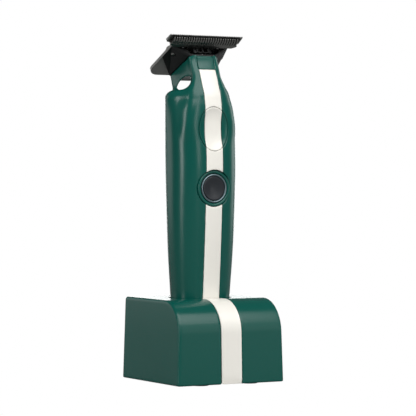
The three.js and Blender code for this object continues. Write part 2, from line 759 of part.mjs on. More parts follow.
let comb = combPlate();
for (const [, side] of sides) {
  comb = comb.subtract(rodZ(bladeScrewRadius + gap, [side * bladeScrewX, bladeScrewS], -3, 3, 20));
}
addPiece(blades, 'comb_blade', comb, steel());
for (const [name, side] of sides) {
  const piece = screw(bladeScrewHead, 1.5, bladeScrewRadius, bladeScrewShank + combThickness)
    .translate([side * bladeScrewX, bladeScrewS, combTop + gap]);
  addPiece(blades, `blade_screw_${name}`, piece, bright());
}

// Moving cutter under the comb, and the fork that drives it
const cutterHalfWidth = combHalfWidth - 1.6;
const heelHalfWidth = springHalfSpan - 1.9;
const heelRear = 12.6;
const cutterBarRear = headFrontS - 1.2;
let cutter = alongZ([
  [-cutterHalfWidth, cutterSetback], [cutterHalfWidth, cutterSetback],
  [cutterHalfWidth, cutterBarRear - 1.2], [cutterHalfWidth - 2.4, cutterBarRear],
  [heelHalfWidth, cutterBarRear], [heelHalfWidth, heelRear], [-heelHalfWidth, heelRear],
  [-heelHalfWidth, cutterBarRear], [-cutterHalfWidth + 2.4, cutterBarRear],
  [-cutterHalfWidth, cutterBarRear - 1.2],
], cutterUnder, cutterTop);
const cutterTeeth = Math.floor((2 * (cutterHalfWidth - 0.7)) / cutterToothPitch);
for (let index = 0; index < cutterTeeth; index += 1) {
  const x = (index - (cutterTeeth - 1) / 2) * cutterToothPitch;
  const half = cutterSlotWidth / 2;
  cutter = cutter.subtract(box(
    [x - half, x + half], [cutterSetback - 1, combToothLength + 0.4],
    [cutterUnder - 1, cutterTop + 1],
  ));
}
addPiece(blades, 'cutter_blade', cutter, steel());

const slotHalfWidth = camRadius + cutterTravel + 0.2;
const forkHalfWidth = slotHalfWidth + 2.1;
const forkFront = 8.4;
const forkRear = 14.6;
const forkTop = cutterUnder - gap;
const forkUnder = forkTop - 2.4;
const forkSlot = toBladeFrame(
  box([-slotHalfWidth, slotHalfWidth], [-camRadius - 0.4, 20], [-20, shoulderHeight + 60]),
);
const ribPitch = 3.2;
const ribDepth = 0.6;
const forkRibs = [-1, 0, 1].map((column) => box(
  [column * ribPitch - 0.4, column * ribPitch + 0.4], [forkFront - ribDepth, forkFront + 1],
  [forkUnder, forkTop],
));
addPiece(
  blades, 'drive_fork',
  box([-forkHalfWidth, forkHalfWidth], [forkFront, forkRear], [forkUnder, forkTop])
    .subtract(forkSlot).add(joined(...forkRibs)),
  black(),
);

// Spring that presses the cutter against the comb: two arms and a cross-bar behind them
const springTop = combUnder - gap;
const springThickness = 0.7;
const springFront = cutterBarRear + 1.6;
const springRear = 20.5;
const springWidth = 1.3;
const arm = (side) => box(
  [side * springHalfSpan - springWidth / 2, side * springHalfSpan + springWidth / 2],
  [springFront, springRear], [springTop - springThickness, springTop],
);
addPiece(
  blades, 'blade_spring',
  joined(arm(-1), arm(1), box(
    [-springHalfSpan - springWidth / 2, springHalfSpan + springWidth / 2],
    [springRear - 1.6, springRear], [springTop - springThickness, springTop],
  )),
  bright(),
);

// Head block: a funnel from the neck's slanted top to the comb, open at the front
const headBottomHalf = spineHalfWidth + 0.25;
const pocketHalf = springHalfSpan + springWidth / 2 + 0.5;
const headNeckLift = gap;
function headBlock() {
  const lift = headNeckLift / Math.cos(radians(neckTopSlopeDeg));
  const lowRing = [
    [-1, -2.4], [-0.86, -3.0], [0.86, -3.0], [1, -2.4], [1, 18.2], [0.8, 19.6], [-0.8, 19.6],
    [-1, 18.2],
  ].map(([share, y]) => [share * headBottomHalf, y, neckTopZ(y) + lift]);
  const topS = [headFrontS, headFrontS, headRearS, headRearS];
  const highRing = [
    [-16.2, topS[0] + 0.8], [-15.2, topS[0]], [15.2, topS[1]], [16.2, topS[1] + 0.8],
    [17.6, topS[2] - 1.2], [16.6, topS[2]], [-16.6, topS[3]], [-17.6, topS[3] - 1.2],
  ].map(([x, s]) => fromBlade(x, s, combUnder - gap));
  return loft([lowRing, highRing]);
}
let head = headBlock();
const pocketRear = springRear + 0.5;
// The pocket narrows from the spring's width at the comb to the neck's width at its floor
const pocketFloorHalf = headBottomHalf - 1.4;
const overlap = 0.2;              // of two cuts that meet
const cutPocket = (() => {
  const lift = headFloor / Math.cos(radians(neckTopSlopeDeg));
  const springUnder = springTop - springThickness - 0.6;
  const openY = -20;
  const floorRear = 6;
  const low = [[-1, openY], [1, openY], [1, floorRear], [-1, floorRear]]
    .map(([side, y]) => [side * pocketFloorHalf, y, neckTopZ(y) + lift]);
  const high = [[-1, -14], [1, -14], [1, pocketRear - overlap], [-1, pocketRear - overlap]]
    .map(([side, s]) => fromBlade(side * (pocketHalf - overlap), s, springUnder + overlap));
  return loft([low, high]);
})();
const springPocket = toClipperFrame(box(
  [-pocketHalf, pocketHalf], [0, pocketRear],
  [springTop - springThickness - 0.6, 8],
));
const forkSweep = forkHalfWidth + cutterTravel + runningGap;
const forkRoom = toClipperFrame(box(
  [-forkSweep, forkSweep], [0, forkRear + 0.6], [forkUnder - 0.5, 8],
));
head = head.subtract(cutPocket).subtract(springPocket).subtract(forkRoom)
  .subtract(rodZ(camRadius + 0.5, [0, 0], shoulderHeight, shoulderHeight + 60, 24));
for (const [, side] of sides) {
  const screwHole = rodZ(smallShank + gap, [0, 0], -2, 4, 16)
    .add(rodZ(headScrewHead + gap, [0, 0], headFloor, headFloor + 8, 20));
  head = head.subtract(onNeckTop(screwHole, side * headScrewX, headScrewY, 0))
    .subtract(toClipperFrame(rodZ(
      bladeScrewRadius + gap, [side * bladeScrewX, bladeScrewS], -bladeScrewShank - combThickness / 2 - gap, 3, 16,
    )));
}
addPiece(clipper, 'head_block', head, black());
for (const [name, side] of sides) {
  const piece = onNeckTop(
    screw(headScrewHead, headScrewRise, smallShank, headScrewShank + headFloor - gap),
    side * headScrewX, headScrewY, headFloor + gap,
  );
  addPiece(clipper, `head_screw_${name}`, piece, bright());
}

// ---------------------------------------------------------------- dock
const dock = new THREE.Group();
const draft = Math.tan(radians(dockDraftDeg));
const seatZ = dockHeight - socketDepth;

// Outside of the dock, shrunk by an inset: side outline by front outline
function dockSolid(inset, bottom) {
  const side = new THREE.Shape();
  const halfDepth = (z) => dockDepth / 2 - draft * z - inset;
  const top = dockHeight - inset;
  const round = Math.max(dockFrontRound - inset, 0.5);
  const rear = Math.max(dockRearRound - inset, 0.4);
  side.moveTo(-halfDepth(bottom), bottom);
  side.lineTo(halfDepth(bottom), bottom);
  side.lineTo(halfDepth(top - rear), top - rear);
  side.quadraticCurveTo(halfDepth(top), top, halfDepth(top) - rear, top);
  side.lineTo(-halfDepth(top - round) + round, top);
  side.absarc(-halfDepth(top - round) + round, top - round, round, Math.PI / 2, Math.PI, false);
  const front = new THREE.Shape();
  const halfWidth = (z) => dockWidth / 2 - draft * z - inset;
  const edge = Math.max(1.4 - inset, 0.3);
  front.moveTo(-halfWidth(bottom), bottom);
  front.lineTo(halfWidth(bottom), bottom);
  front.lineTo(halfWidth(top - edge), top - edge);
  front.lineTo(halfWidth(top) - edge, top);
  front.lineTo(-halfWidth(top) + edge, top);
  front.lineTo(-halfWidth(top - edge), top - edge);
  return alongX(side, -60, 60, 12).intersect(alongY(front, -60, 60, 4));
}

// The clipper's own outline in the dock's frame, grown by an offset
function seatSolid(offset, from, to) {
  const rings = steps(from, to, 4).map((z) => bodyRing(z - seatZ, offset, z));
  return loft(rings).translate([0, seatY, 0]);
}

const dockOuter = dockSolid(0, dockFootLift);
const socketHole = seatSolid(socketClearance, dockHeight - dockFrontRound, dockHeight + 4);
const screwPlaces = [-1, 1].flatMap((x) => [-1, 1].map((y) => [
  x * (dockWidth / 2 - screwInset), y * (dockDepth / 2 - screwInset),
]));
const dockScrewHead = 2.3;
const dockScrewSink = 1.3;        // recess for the screw's head
const plateFoot = dockFootLift + 0.4;
const postRadius = 3.2;
const plateTop = plateFoot + basePlateThickness;
const dockInlayDepth = [0, stripeThickness, -stripeThickness];
const dockChannelDepth = [0, stripeThickness + gap, -stripeThickness - gap];
const dockStripeSlab = (extra) => box(
  [-dockStripeWidth / 2 - extra, dockStripeWidth / 2 + extra],
  [-60, seatY - 5], [dockFootLift - 1, dockHeight + 5],
);
const inletWidth = 9.0;
const inletHeight = 3.3;
const inletZ = 13.5;
const slotShape = (width, height, z) => {
  const shape = new THREE.Shape();
  const r = height / 2;
  shape.moveTo(-width / 2 + r, z - r);
  shape.lineTo(width / 2 - r, z - r);
  shape.absarc(width / 2 - r, z, r, -Math.PI / 2, Math.PI / 2, false);
  shape.lineTo(-width / 2 + r, z + r);
  shape.absarc(-width / 2 + r, z, r, Math.PI / 2, (3 * Math.PI) / 2, false);
  return shape;
};

function dockShell() {
  let shell = dockOuter.subtract(dockSolid(dockWall, dockFootLift - 2));
  for (const [x, y] of screwPlaces) {
    const post = rodZ(postRadius, [x, y], plateTop + gap, dockHeight, 16).intersect(dockOuter);
    shell = shell.add(post).subtract(rodZ(smallShank + gap, [x, y], 0, plateTop + 9, 12));
  }
  const groove = channel(dockOuter, dockStripeSlab(gap), dockChannelDepth);
  return shell.subtract(groove).subtract(socketHole).subtract(
    alongY(slotShape(inletWidth + 2 * gap, inletHeight + 2 * gap, inletZ), 20, 60, 6),
  );
}
addPiece(dock, 'dock_shell', dockShell(), green());
addPiece(
  dock, 'dock_stripe',
  inlay(dockOuter, dockStripeSlab(0), dockInlayDepth).subtract(socketHole),
  cream(),
);

// Socket cup that the clipper stands in
const cupFloorTop = seatZ - gap;
const cupTop = dockHeight - dockWall - gap;
const pinPlaces = sides.map(([name, side]) => [name, [(side * contactSpacing) / 2, seatY]]);
let cup = joined(
  seatSolid(socketClearance + socketWall, cupFloorTop - socketFloor, cupTop),
  seatSolid(socketClearance + socketWall + 2.2, cupTop - 1.6, cupTop),
).subtract(seatSolid(socketClearance, cupFloorTop, cupTop + 1));
for (const [, place] of pinPlaces) {
  cup = cup.subtract(rodZ(contactPinRadius + gap, place, 0, dockHeight, 16));
}
addPiece(dock, 'socket_cup', cup, black());

// Sprung contact pins in their block, clear of the ballast when they are pressed
const ballastFoot = plateTop + gap;
const ballastTop = ballastFoot + ballastSize[2];
const pinTop = seatZ + padRecess - gap;
const pinFoot = ballastTop + gap + contactPinTravel;
const pinTail = 0.5;              // pin below its block
const blockTop = cupFloorTop - socketFloor - gap;
const blockFoot = pinFoot + pinTail;
let pinBlock = box([-8.5, 8.5], [seatY - 3.5, seatY + 3.5], [blockFoot, blockTop]);
for (const [, place] of pinPlaces) {
  pinBlock = pinBlock.subtract(rodZ(contactPinRadius + gap, place, 0, dockHeight, 16));
}
addPiece(dock, 'pin_block', pinBlock, grey());
for (const [name, place] of pinPlaces) {
  addPiece(dock, `contact_pin_${name}`, rodZ(contactPinRadius, place, pinFoot, pinTop, 16), brass());
}

// Base plate, ballast, feet and screws
let basePlate = dockSolid(dockWall + gap, plateFoot)
  .intersect(box([-60, 60], [-60, 60], [plateFoot, plateTop]));
const footPlaces = screwPlaces.map(([x, y]) => [
  x - Math.sign(x) * (dockScrewHead + footRadius + footGap), y,
]);
for (const [x, y] of footPlaces) {
  basePlate = basePlate.subtract(rodZ(footRadius + gap, [x, y], 0, footThickness + gap, 24));
}
for (const [x, y] of screwPlaces) {
  basePlate = basePlate
    .subtract(rodZ(dockScrewHead + gap, [x, y], 0, plateFoot + dockScrewSink, 20))
    .subtract(rodZ(smallShank + gap, [x, y], 0, 10, 12));
}
addPiece(dock, 'base_plate', basePlate, black());
addPiece(
  dock, 'ballast_plate',
  box(
    [-ballastSize[0] / 2, ballastSize[0] / 2], [-ballastSize[1] / 2, ballastSize[1] / 2],
    [ballastFoot, ballastTop],
  ),
  bright(),
);
screwPlaces.forEach(([x, y], index) => {
  const piece = screw(dockScrewHead, 1.1, smallShank, 7).rotate([180, 0, 0])
    .translate([x, y, plateFoot + dockScrewSink - gap]);
  addPiece(dock, `dock_screw_${index + 1}`, piece, bright());
});
footPlaces.forEach(([x, y], index) => {
  addPiece(
    dock, `dock_foot_${index + 1}`, rodZ(footRadius, [x, y], 0, footThickness, 24), rubber(),
  );
});

// Charging board with its inlet at the rear
const inletRear = dockDepth / 2 - draft * inletZ - 1.0;
const boardUnder = inletZ - inletHeight / 2 - gap - boardThickness;
addPiece(
  dock, 'dock_board',
  box([-11, 11], [inletRear - 9.6, inletRear - 1.6], [boardUnder, boardUnder + boardThickness]),
  board(),
);
addPiece(
  dock, 'charging_inlet',
  alongY(slotShape(inletWidth, inletHeight, inletZ), inletRear - 7.4, inletRear, 6)
    .subtract(alongY(slotShape(inletWidth - 0.7, inletHeight - 0.7, inletZ), inletRear - 6.4, 60, 6))
    .add(box([-3.4, 3.4], [inletRear - 6.8, inletRear - 1.2], [inletZ - 0.35, inletZ + 0.35])),
  bright(),
);

// ---------------------------------------------------------------- whole object
const object = new THREE.Group();
object.add(dock, clipper);
export default object;
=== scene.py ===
# %% [markdown]
# # A cordless hair clipper in its charging dock
# The real thing is a slim lacquered body with a cream stripe down its front. A T-shaped blade
# sits on a bridged neck, and a heavy square dock charges and holds it.
# The CAD model already fixes every size and place, so the first step loads it as the frame.

# %% Load the frame
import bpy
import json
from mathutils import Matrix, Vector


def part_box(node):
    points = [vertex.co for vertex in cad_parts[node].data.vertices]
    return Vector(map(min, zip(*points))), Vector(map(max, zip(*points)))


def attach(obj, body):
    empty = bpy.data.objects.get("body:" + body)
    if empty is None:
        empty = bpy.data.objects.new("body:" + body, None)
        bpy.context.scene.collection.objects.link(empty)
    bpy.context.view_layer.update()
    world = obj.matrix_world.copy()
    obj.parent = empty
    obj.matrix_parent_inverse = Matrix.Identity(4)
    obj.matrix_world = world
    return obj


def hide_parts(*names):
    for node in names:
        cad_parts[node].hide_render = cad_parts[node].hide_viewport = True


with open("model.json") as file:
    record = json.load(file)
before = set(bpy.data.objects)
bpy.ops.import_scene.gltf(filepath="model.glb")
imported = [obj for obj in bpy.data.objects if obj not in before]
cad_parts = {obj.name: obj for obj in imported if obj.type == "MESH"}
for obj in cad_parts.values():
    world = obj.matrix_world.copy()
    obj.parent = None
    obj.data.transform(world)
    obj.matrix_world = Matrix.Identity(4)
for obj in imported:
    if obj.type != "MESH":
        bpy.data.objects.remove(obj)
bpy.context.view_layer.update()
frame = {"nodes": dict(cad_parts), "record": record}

# %% [markdown]
# ## Places that come from the CAD
# All shapes below are worked out in millimetres, which keeps the numbers readable. A helper
# turns them into metres when a mesh is made. The clipper has an axis of its own: its foot and
# the middle of its motor give it a place in the dock.

# %% Millimetres and the clipper's axis
import json
import math
import bpy
import bmesh
import numpy as np
from mathutils import Matrix, Vector

MM = 0.001


def span(node):
    low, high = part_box(node)
    return np.array(low) / MM, np.array(high) / MM


seat_z = span("bottom_cap")[0][2]
seat_y = span("motor_can")[0][1] / 2 + span("motor_can")[1][1] / 2
seat = np.array([0.0, seat_y, seat_z])
button_height = (span("power_button")[0][2] + span("power_button")[1][2]) / 2 - seat_z
thumb_low, thumb_high = (corner[2] - seat_z for corner in span("thumb_rest"))
print("seat", seat.round(2), "button", round(button_height, 2), "thumb", thumb_low, thumb_high)


# %% A mesh object from points and faces
def mesh_object(name, points, faces, at=(0, 0, 0), smooth=True):
    mesh = bpy.data.meshes.new(name)
    points = (np.asarray(points, float) + np.asarray(at, float)) * MM
    mesh.from_pydata(points.tolist(), [], [list(map(int, f)) for f in faces])
    mesh.update()
    piece = bpy.data.objects.new(name, mesh)
    bpy.context.scene.collection.objects.link(piece)
    if smooth:
        mesh.polygons.foreach_set("use_smooth", [True] * len(mesh.polygons))
    return piece


def finish(piece, body, material, slot, *cad_nodes):
    piece.data.materials.clear()
    piece.data.materials.append(material)
    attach(piece, body)
    if cad_nodes:
        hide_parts(*cad_nodes)
    print(piece.name, len(piece.data.polygons), "faces")
    return piece


# %% [markdown]
# ## Surfaces from a field
# A moulded body has edges that melt into each other, and the neck here grows out of the grip
# with soft fillets. One way to make that is to join solids and bevel every edge. A field is
# simpler: a function gives the distance to the surface at any point, and two such functions
# blend with a rounded minimum. A grid of samples then finds where the distance is zero, and
# each corner slides onto the true surface, so flat faces come out flat and curves smooth.

# %% Rounded joins and cuts of fields
def round_max(a, b, radius):
    ahead_a, ahead_b = np.maximum(radius + a, 0), np.maximum(radius + b, 0)
    return np.minimum(-radius, np.maximum(a, b)) + np.hypot(ahead_a, ahead_b)


def soft_min(a, b, width):
    near = np.maximum(width - np.abs(a - b), 0) / width
    return np.minimum(a, b) - near * near * width / 4


def cut(shape, tool, radius):
    return round_max(shape, -tool, radius)


def superellipse(u, v, half_u, half_v, power):
    a, b = np.abs(u) / half_u, np.abs(v) / half_v
    g = np.maximum((a**power + b**power) ** (1 / power), 1e-3)
    slope = np.hypot(a ** (power - 1) / half_u, b ** (power - 1) / half_v) * g ** (1 - power)
    return (g - 1) / np.maximum(slope, 1 / np.maximum(half_u, half_v) * 0.5)


# %% The zero surface of a field as a mesh of quads
def surface(field, low, high, cell, block=6):
    counts = [int(math.ceil((b - a) / cell / block)) + 2 for a, b in zip(low, high)]
    start = np.array(low, float) - cell * block
    axes = [start[i] + cell * np.arange(counts[i] * block + 1) for i in range(3)]
    middle = [axes[i][block // 2 :: block][: counts[i]] for i in range(3)]
    coarse = field(*np.meshgrid(*middle, indexing="ij"))
    far = np.abs(coarse) > cell * block * 1.7
    spread = lambda a: a.repeat(block, 0).repeat(block, 1).repeat(block, 2)
    pad = lambda a: np.pad(a, ((0, 1), (0, 1), (0, 1)), mode="edge")
    values = pad(spread(np.sign(coarse) * 99.0))
    near = np.argwhere(pad(spread(~far)))
    values[tuple(near.T)] = field(*(start[i] + cell * near[:, i] for i in range(3)))
    inside = values < 0
    size = np.array(values.shape)
    corners = np.array([(i, j, k) for i in (0, 1) for j in (0, 1) for k in (0, 1)])
    cut_at = lambda o: tuple(slice(o[i], size[i] - 1 + o[i]) for i in range(3))
    total = sum(inside[cut_at(o)].astype(np.int8) for o in corners)
    mixed = (total > 0) & (total < 8)
    cells = np.argwhere(mixed)
    number = np.full(mixed.shape, -1)
    number[tuple(cells.T)] = np.arange(len(cells))
    place, hits = np.zeros((len(cells), 3)), np.zeros(len(cells))
    for a in corners:
        for d in np.eye(3, dtype=int):
            if (a + d).max() > 1:
                continue
            fa, fb = values[tuple((cells + a).T)], values[tuple((cells + a + d).T)]
            crosses = (fa < 0) != (fb < 0)
            share = np.where(crosses, fa / np.where(crosses, fa - fb, 1), 0)
            place += np.where(crosses[:, None], cells + a + share[:, None] * d, 0)
            hits += crosses
    points = start + cell * place / hits[:, None]
    step = 0.05
    for _ in range(3):
        value = field(*points.T)
        slope = np.stack([
            (field(*(points + step * d).T) - field(*(points - step * d).T)) / (2 * step)
            for d in np.eye(3)
        ], 1)
        length = np.maximum((slope**2).sum(1), 0.2)
        move = -(value / length)[:, None] * slope
        points += move * np.minimum(1, 0.4 * cell / np.maximum(np.linalg.norm(move, axis=1), 1e-9))[:, None]
    quads = []
    for d in range(3):
        e, g = np.eye(3, dtype=int)[(d + 1) % 3], np.eye(3, dtype=int)[(d + 2) % 3]
        here = inside[tuple(slice(1, s - 1) for s in size)]
        there = inside[tuple(slice(1 + (i == d), size[i] - 1 + (i == d)) for i in range(3))]
        changes = here != there
        at = np.argwhere(changes) + 1
        loop = np.stack([number[tuple((at - o).T)] for o in (0 * e, e, e + g, g)], 1)
        outward = here[changes]
        quads.append(np.where(outward[:, None], loop, loop[:, ::-1]))
    return points, np.concatenate(quads)


# %% [markdown]
# ## The grip and its bridged neck
# The grip is a stack of rounded sections that swell towards the thumb and end in a rounded
# shoulder. A spine carries on up the front, and two struts at the back hold a bridge, so a
# window shows through the neck. The tables repeat the CAD's own sections. The window alone
# differs: it is cut a little longer and higher than in the CAD.

# %% Sections along the grip and the spine
shoulder, shoulder_round = 131.9, 5.0
grip_half, grip_front, grip_rear, grip_power = 18.05, 15.5, 15.8, 2.4
narrow_from, narrow_power = 3.0, 1.3     # the front narrows ahead of this, behind the axis
grip_foot = span("body_shell")[0][2] - seat_z
grip_table = np.array([
    [0.00, 0.742, 0.742, 0.652, 0.823], [0.222, 0.848, 0.848, 0.758, 0.840],
    [0.345, 0.909, 0.909, 0.837, 0.851], [0.537, 0.972, 0.972, 0.939, 0.897],
    [0.728, 0.994, 0.994, 1.000, 0.990], [0.844, 1.000, 0.960, 0.939, 1.000],
    [0.920, 1.000, 0.830, 0.880, 1.000], [0.962, 1.000, 0.660, 0.800, 1.000],
    [1.020, 1.000, 0.580, 0.720, 1.000],
])
spine_half, spine_rear = 8.0, 4.2
spine_table = np.array([
    [-38.0, 12.0, 11.5, 8.0], [-30.3, 14.8, 13.5, 9.4], [-20.6, 16.2, 14.5, 9.5],
    [-11.5, 14.8, 14.16, 8.5], [-7.5, 13.6, 13.65, 7.5], [-3.4, 12.0, 12.62, 6.2],
    [-1.3, 11.1, 12.0, 5.4], [0.7, 10.2, 11.33, 4.5], [2.8, 9.3, 10.66, 3.5],
    [4.8, 8.5, 9.94, 3.1], [6.9, spine_half, 9.06, 2.9], [9.0, spine_half, 8.1, 2.7],
    [13.2, spine_half, 5.75, 1.9], [18.0, spine_half, 3.2, 1.4],
])


def smooth_table(table, samples=600):
    """Every column along the first one, through the rows without corners."""
    at = np.linspace(table[0, 0], table[-1, 0], samples)
    slopes = np.gradient(table[:, 1:], table[:, 0], axis=0)
    row = np.clip(np.searchsorted(table[:, 0], at) - 1, 0, len(table) - 2)
    span_ = table[row + 1, 0] - table[row, 0]
    t = ((at - table[row, 0]) / span_)[:, None]
    m0, m1 = slopes[row] * span_[:, None], slopes[row + 1] * span_[:, None]
    a, b = table[row, 1:], table[row + 1, 1:]
    value = ((2 * t**3 - 3 * t**2 + 1) * a + (t**3 - 2 * t**2 + t) * m0
             + (3 * t**2 - 2 * t**3) * b + (t**3 - t**2) * m1)
    return at, value


grip_at, grip_columns = smooth_table(grip_table)
spine_at, spine_columns = smooth_table(spine_table)
pick = lambda at, columns, x, c: np.interp(x, at, columns[:, c])
print("grip from", round(grip_foot, 2), "to", shoulder, "mm")


# %% The grip's field
def grip(x, y, h):
    share = np.clip(h, 0, shoulder - shoulder_round) / shoulder
    half = grip_half * pick(grip_at, grip_columns, share, 0)
    front_half = grip_half * pick(grip_at, grip_columns, share, 1)
    front = grip_front * pick(grip_at, grip_columns, share, 2)
    depth = np.where(y < 0, front, grip_rear * pick(grip_at, grip_columns, share, 3))
    forward = np.clip((narrow_from - y) / (narrow_from + front), 0, 1.1)
    width = half + (front_half - half) * forward**narrow_power
    side = superellipse(x, y, width, depth, grip_power)
    return round_max(round_max(side, h - shoulder, shoulder_round), grip_foot - h, 0.6)


# %% The spine, the struts and the window
neck_top_front, neck_slope, neck_front_y = 17.1, math.radians(22.9), -3.3
neck_top = lambda y: shoulder + neck_top_front - (y - neck_front_y) * math.tan(neck_slope)
strut_bulge, strut_thickness, strut_rear = 0.7, 2.9, 16.3
strut_out = spine_half + strut_bulge
strut_in = strut_out - strut_thickness
window_rear, window_flare = 10.0, 2.1    # the flare is the lean of its rear edge, per mm inward


def spine(x, y, h):
    level = np.clip(h - shoulder, spine_table[0, 0], spine_table[-1, 0])
    half, front, setback = (pick(spine_at, spine_columns, level, c) for c in range(3))
    edge = setback - front
    ahead = y < edge
    side = superellipse(x, y - edge, half, np.where(ahead, setback, spine_rear - edge),
                        np.where(ahead, 2.6, 1.45))
    return round_max(side, shoulder + spine_table[0, 0] - h, 1.0)


def window_top(y, rear=9.6, rise=1.4, top=7.2):
    t = np.linspace(0, 1, 60)
    curve_y = rear * (1 - t) ** 2 + 2 * (rear - 4.6) * t * (1 - t) + (rear - 11) * t**2
    curve_z = rise * (1 - t) ** 2 + 2 * (top - 0.9) * t * (1 - t) + (top - 0.35) * t**2
    return shoulder + np.interp(y, curve_y[::-1], curve_z[::-1])


def struts(x, y, h):
    level = h - shoulder
    rear_slope = np.where(level < 0, 0.12, math.tan(math.radians(30.3)))
    rear = strut_rear + level * rear_slope
    half = spine_half + strut_bulge * np.clip(1 - np.maximum(level, 0) / 7, 0, 1)
    block = superellipse(x, y - (rear - 5.2) / 2, half, (rear + 5.2) / 2, 6.0)
    flared = y - window_flare * np.clip(strut_out - np.abs(x), 0, strut_thickness + 0.5)
    window = round_max((h - window_top(flared)) * 0.8, (flared - window_rear) * 0.6, 0.8)
    roof = neck_top(17) - 1.9 - np.maximum(y - 17, 0) * 0.38
    slot = round_max(np.abs(x) - strut_in, h - roof, 1.0)
    return cut(cut(round_max(block, shoulder - 4 - h, 0.3), window, 0.8), slot, 0.5)


def body_outside(x, y, h):
    top_plane = (h - neck_top(y)) * math.cos(neck_slope)
    neck = round_max(soft_min(spine(x, y, h), struts(x, y, h), 1.6), top_plane, 0.35)
    width = np.interp(h, [shoulder - 16, shoulder - 1], [0.8, 4.2])
    return soft_min(grip(x, y, h), neck, width)


def front_depth(x, h, field=body_outside, start=-22.0, end=-1.5):
    """Where the front surface is, over a point of the front view."""
    x, h = np.broadcast_arrays(np.asarray(x, float), np.asarray(h, float))
    low, high = np.full(x.shape, start), np.full(x.shape, end)
    for _ in range(26):
        middle = (low + high) / 2
        out = field(x, middle, h) > 0
        low, high = np.where(out, middle, low), np.where(out, high, middle)
    return (low + high) / 2


print("front at the button:", front_depth(0.0, button_height).round(2))

# %% [markdown]
# ## What is let into the front
# A stripe, a thumb rest and a button are separate mouldings, so the shell has a channel, an
# oval well and a round well for them. Their small clearances draw the thin dark lines that
# make the object read as an assembly.

# %% The body shell with its channel and wells
stripe_half, inlay_depth, seam = 4.65, 1.0, 0.18
thumb_mid, thumb_half_h, thumb_half_w = (thumb_low + thumb_high) / 2, 11.2, 8.3
bezel_radius = (span("button_bezel")[1][0] - span("button_bezel")[0][0]) / 2
bezel_face = span("button_bezel")[0][1] - seat_y


def body_field(x, y, h):
    shape = body_outside(x, y, h)
    channel = np.maximum(np.abs(x) - stripe_half - seam, -body_outside(x, y - 1.3, h))
    channel = np.maximum(channel, y + 1.0)
    thumb = superellipse(x, h - thumb_mid, thumb_half_w + 0.1, thumb_half_h + 0.1, 2.0)
    thumb = np.maximum(np.maximum(thumb, y + 7.5), -body_outside(x, y - 3.4, h))
    round_well = np.maximum(np.hypot(x, h - button_height) - bezel_radius - seam,
                            y - bezel_face - 3.0)
    shape = cut(cut(shape, channel, 0.12), thumb, 0.35)
    return cut(shape, round_well, 0.3)


points, quads = surface(body_field, (-19, -17, 2.5), (19, 28, 151), 0.47)
body_skin = mesh_object("body_skin", points, quads, at=seat)
print("body shell:", len(quads), "quads")

# %% [markdown]
# ## Finishes
# The body is sprayed with a dark green lacquer of a satin shine, with a trace of orange peel
# and slight changes of tone. The stripe is a cream lacquer with a thin clear coat. The blades
# are ground steel with a dark coating, and the comb's teeth are that same steel painted darker
# still, as a painted shade. The inside mouldings are black plastic with a fine spark texture.
# Each effect is a node group that several materials share.

# %% Node groups for spray, grain and grinding
def group_of(name, inputs, outputs):
    tree = bpy.data.node_groups.new(name, "ShaderNodeTree")
    for label, value in inputs.items():
        socket = tree.interface.new_socket(label, in_out="INPUT", socket_type="NodeSocketFloat")
        socket.default_value = value
    for label, kind in outputs.items():
        tree.interface.new_socket(label, in_out="OUTPUT", socket_type=kind)
    start, end = tree.nodes.new("NodeGroupInput"), tree.nodes.new("NodeGroupOutput")
    coordinates = tree.nodes.new("ShaderNodeTexCoord")
    return tree, start, end, coordinates


def mapped(tree, value, low, high):
    node = tree.nodes.new("ShaderNodeMapRange")
    node.interpolation_type = "SMOOTHSTEP"
    node.inputs["From Min"].default_value, node.inputs["From Max"].default_value = 0.1, 0.9
    tree.links.new(value, node.inputs["Value"])
    tree.links.new(low, node.inputs["To Min"])
    tree.links.new(high, node.inputs["To Max"])
    return node.outputs["Result"]


def noise(tree, vector, scale, detail, stretch=(1, 1, 1)):
    mapping = tree.nodes.new("ShaderNodeMapping")
    mapping.inputs["Scale"].default_value = stretch
    texture = tree.nodes.new("ShaderNodeTexNoise")
    texture.inputs["Scale"].default_value = scale
    texture.inputs["Detail"].default_value = detail
    tree.links.new(vector, mapping.inputs["Vector"])
    tree.links.new(mapping.outputs["Vector"], texture.inputs["Vector"])
    return texture.outputs["Fac"]


def bumped(tree, height, strength, distance):
    node = tree.nodes.new("ShaderNodeBump")
    node.inputs["Distance"].default_value = distance
    tree.links.new(strength, node.inputs["Strength"])
    tree.links.new(height, node.inputs["Height"])
    return node.outputs["Normal"]


def surface_group(name, broad, fine, stretch=(1, 1, 1), distance=0.0001):
    tree, start, end, coordinates = group_of(
        name,
        {"Rough Low": 0.2, "Rough High": 0.3, "Bump": 0.1},
        {"Tone": "NodeSocketFloat", "Roughness": "NodeSocketFloat", "Normal": "NodeSocketVector"},
    )
    tone = noise(tree, coordinates.outputs["Object"], broad, 3)
    grain = noise(tree, coordinates.outputs["Object"], fine, 2, stretch)
    tree.links.new(tone, end.inputs["Tone"])
    tree.links.new(mapped(tree, tone, start.outputs["Rough Low"], start.outputs["Rough High"]),
                   end.inputs["Roughness"])
    tree.links.new(bumped(tree, grain, start.outputs["Bump"], distance), end.inputs["Normal"])
    return tree


spray = surface_group("sprayed_surface", 22, 900, distance=0.00008)
grain = surface_group("spark_grain", 40, 3200, distance=0.00006)
grinding = surface_group("ground_lines", 30, 700, (0.06, 1, 1), distance=0.00006)
print("groups:", [g.name for g in bpy.data.node_groups])


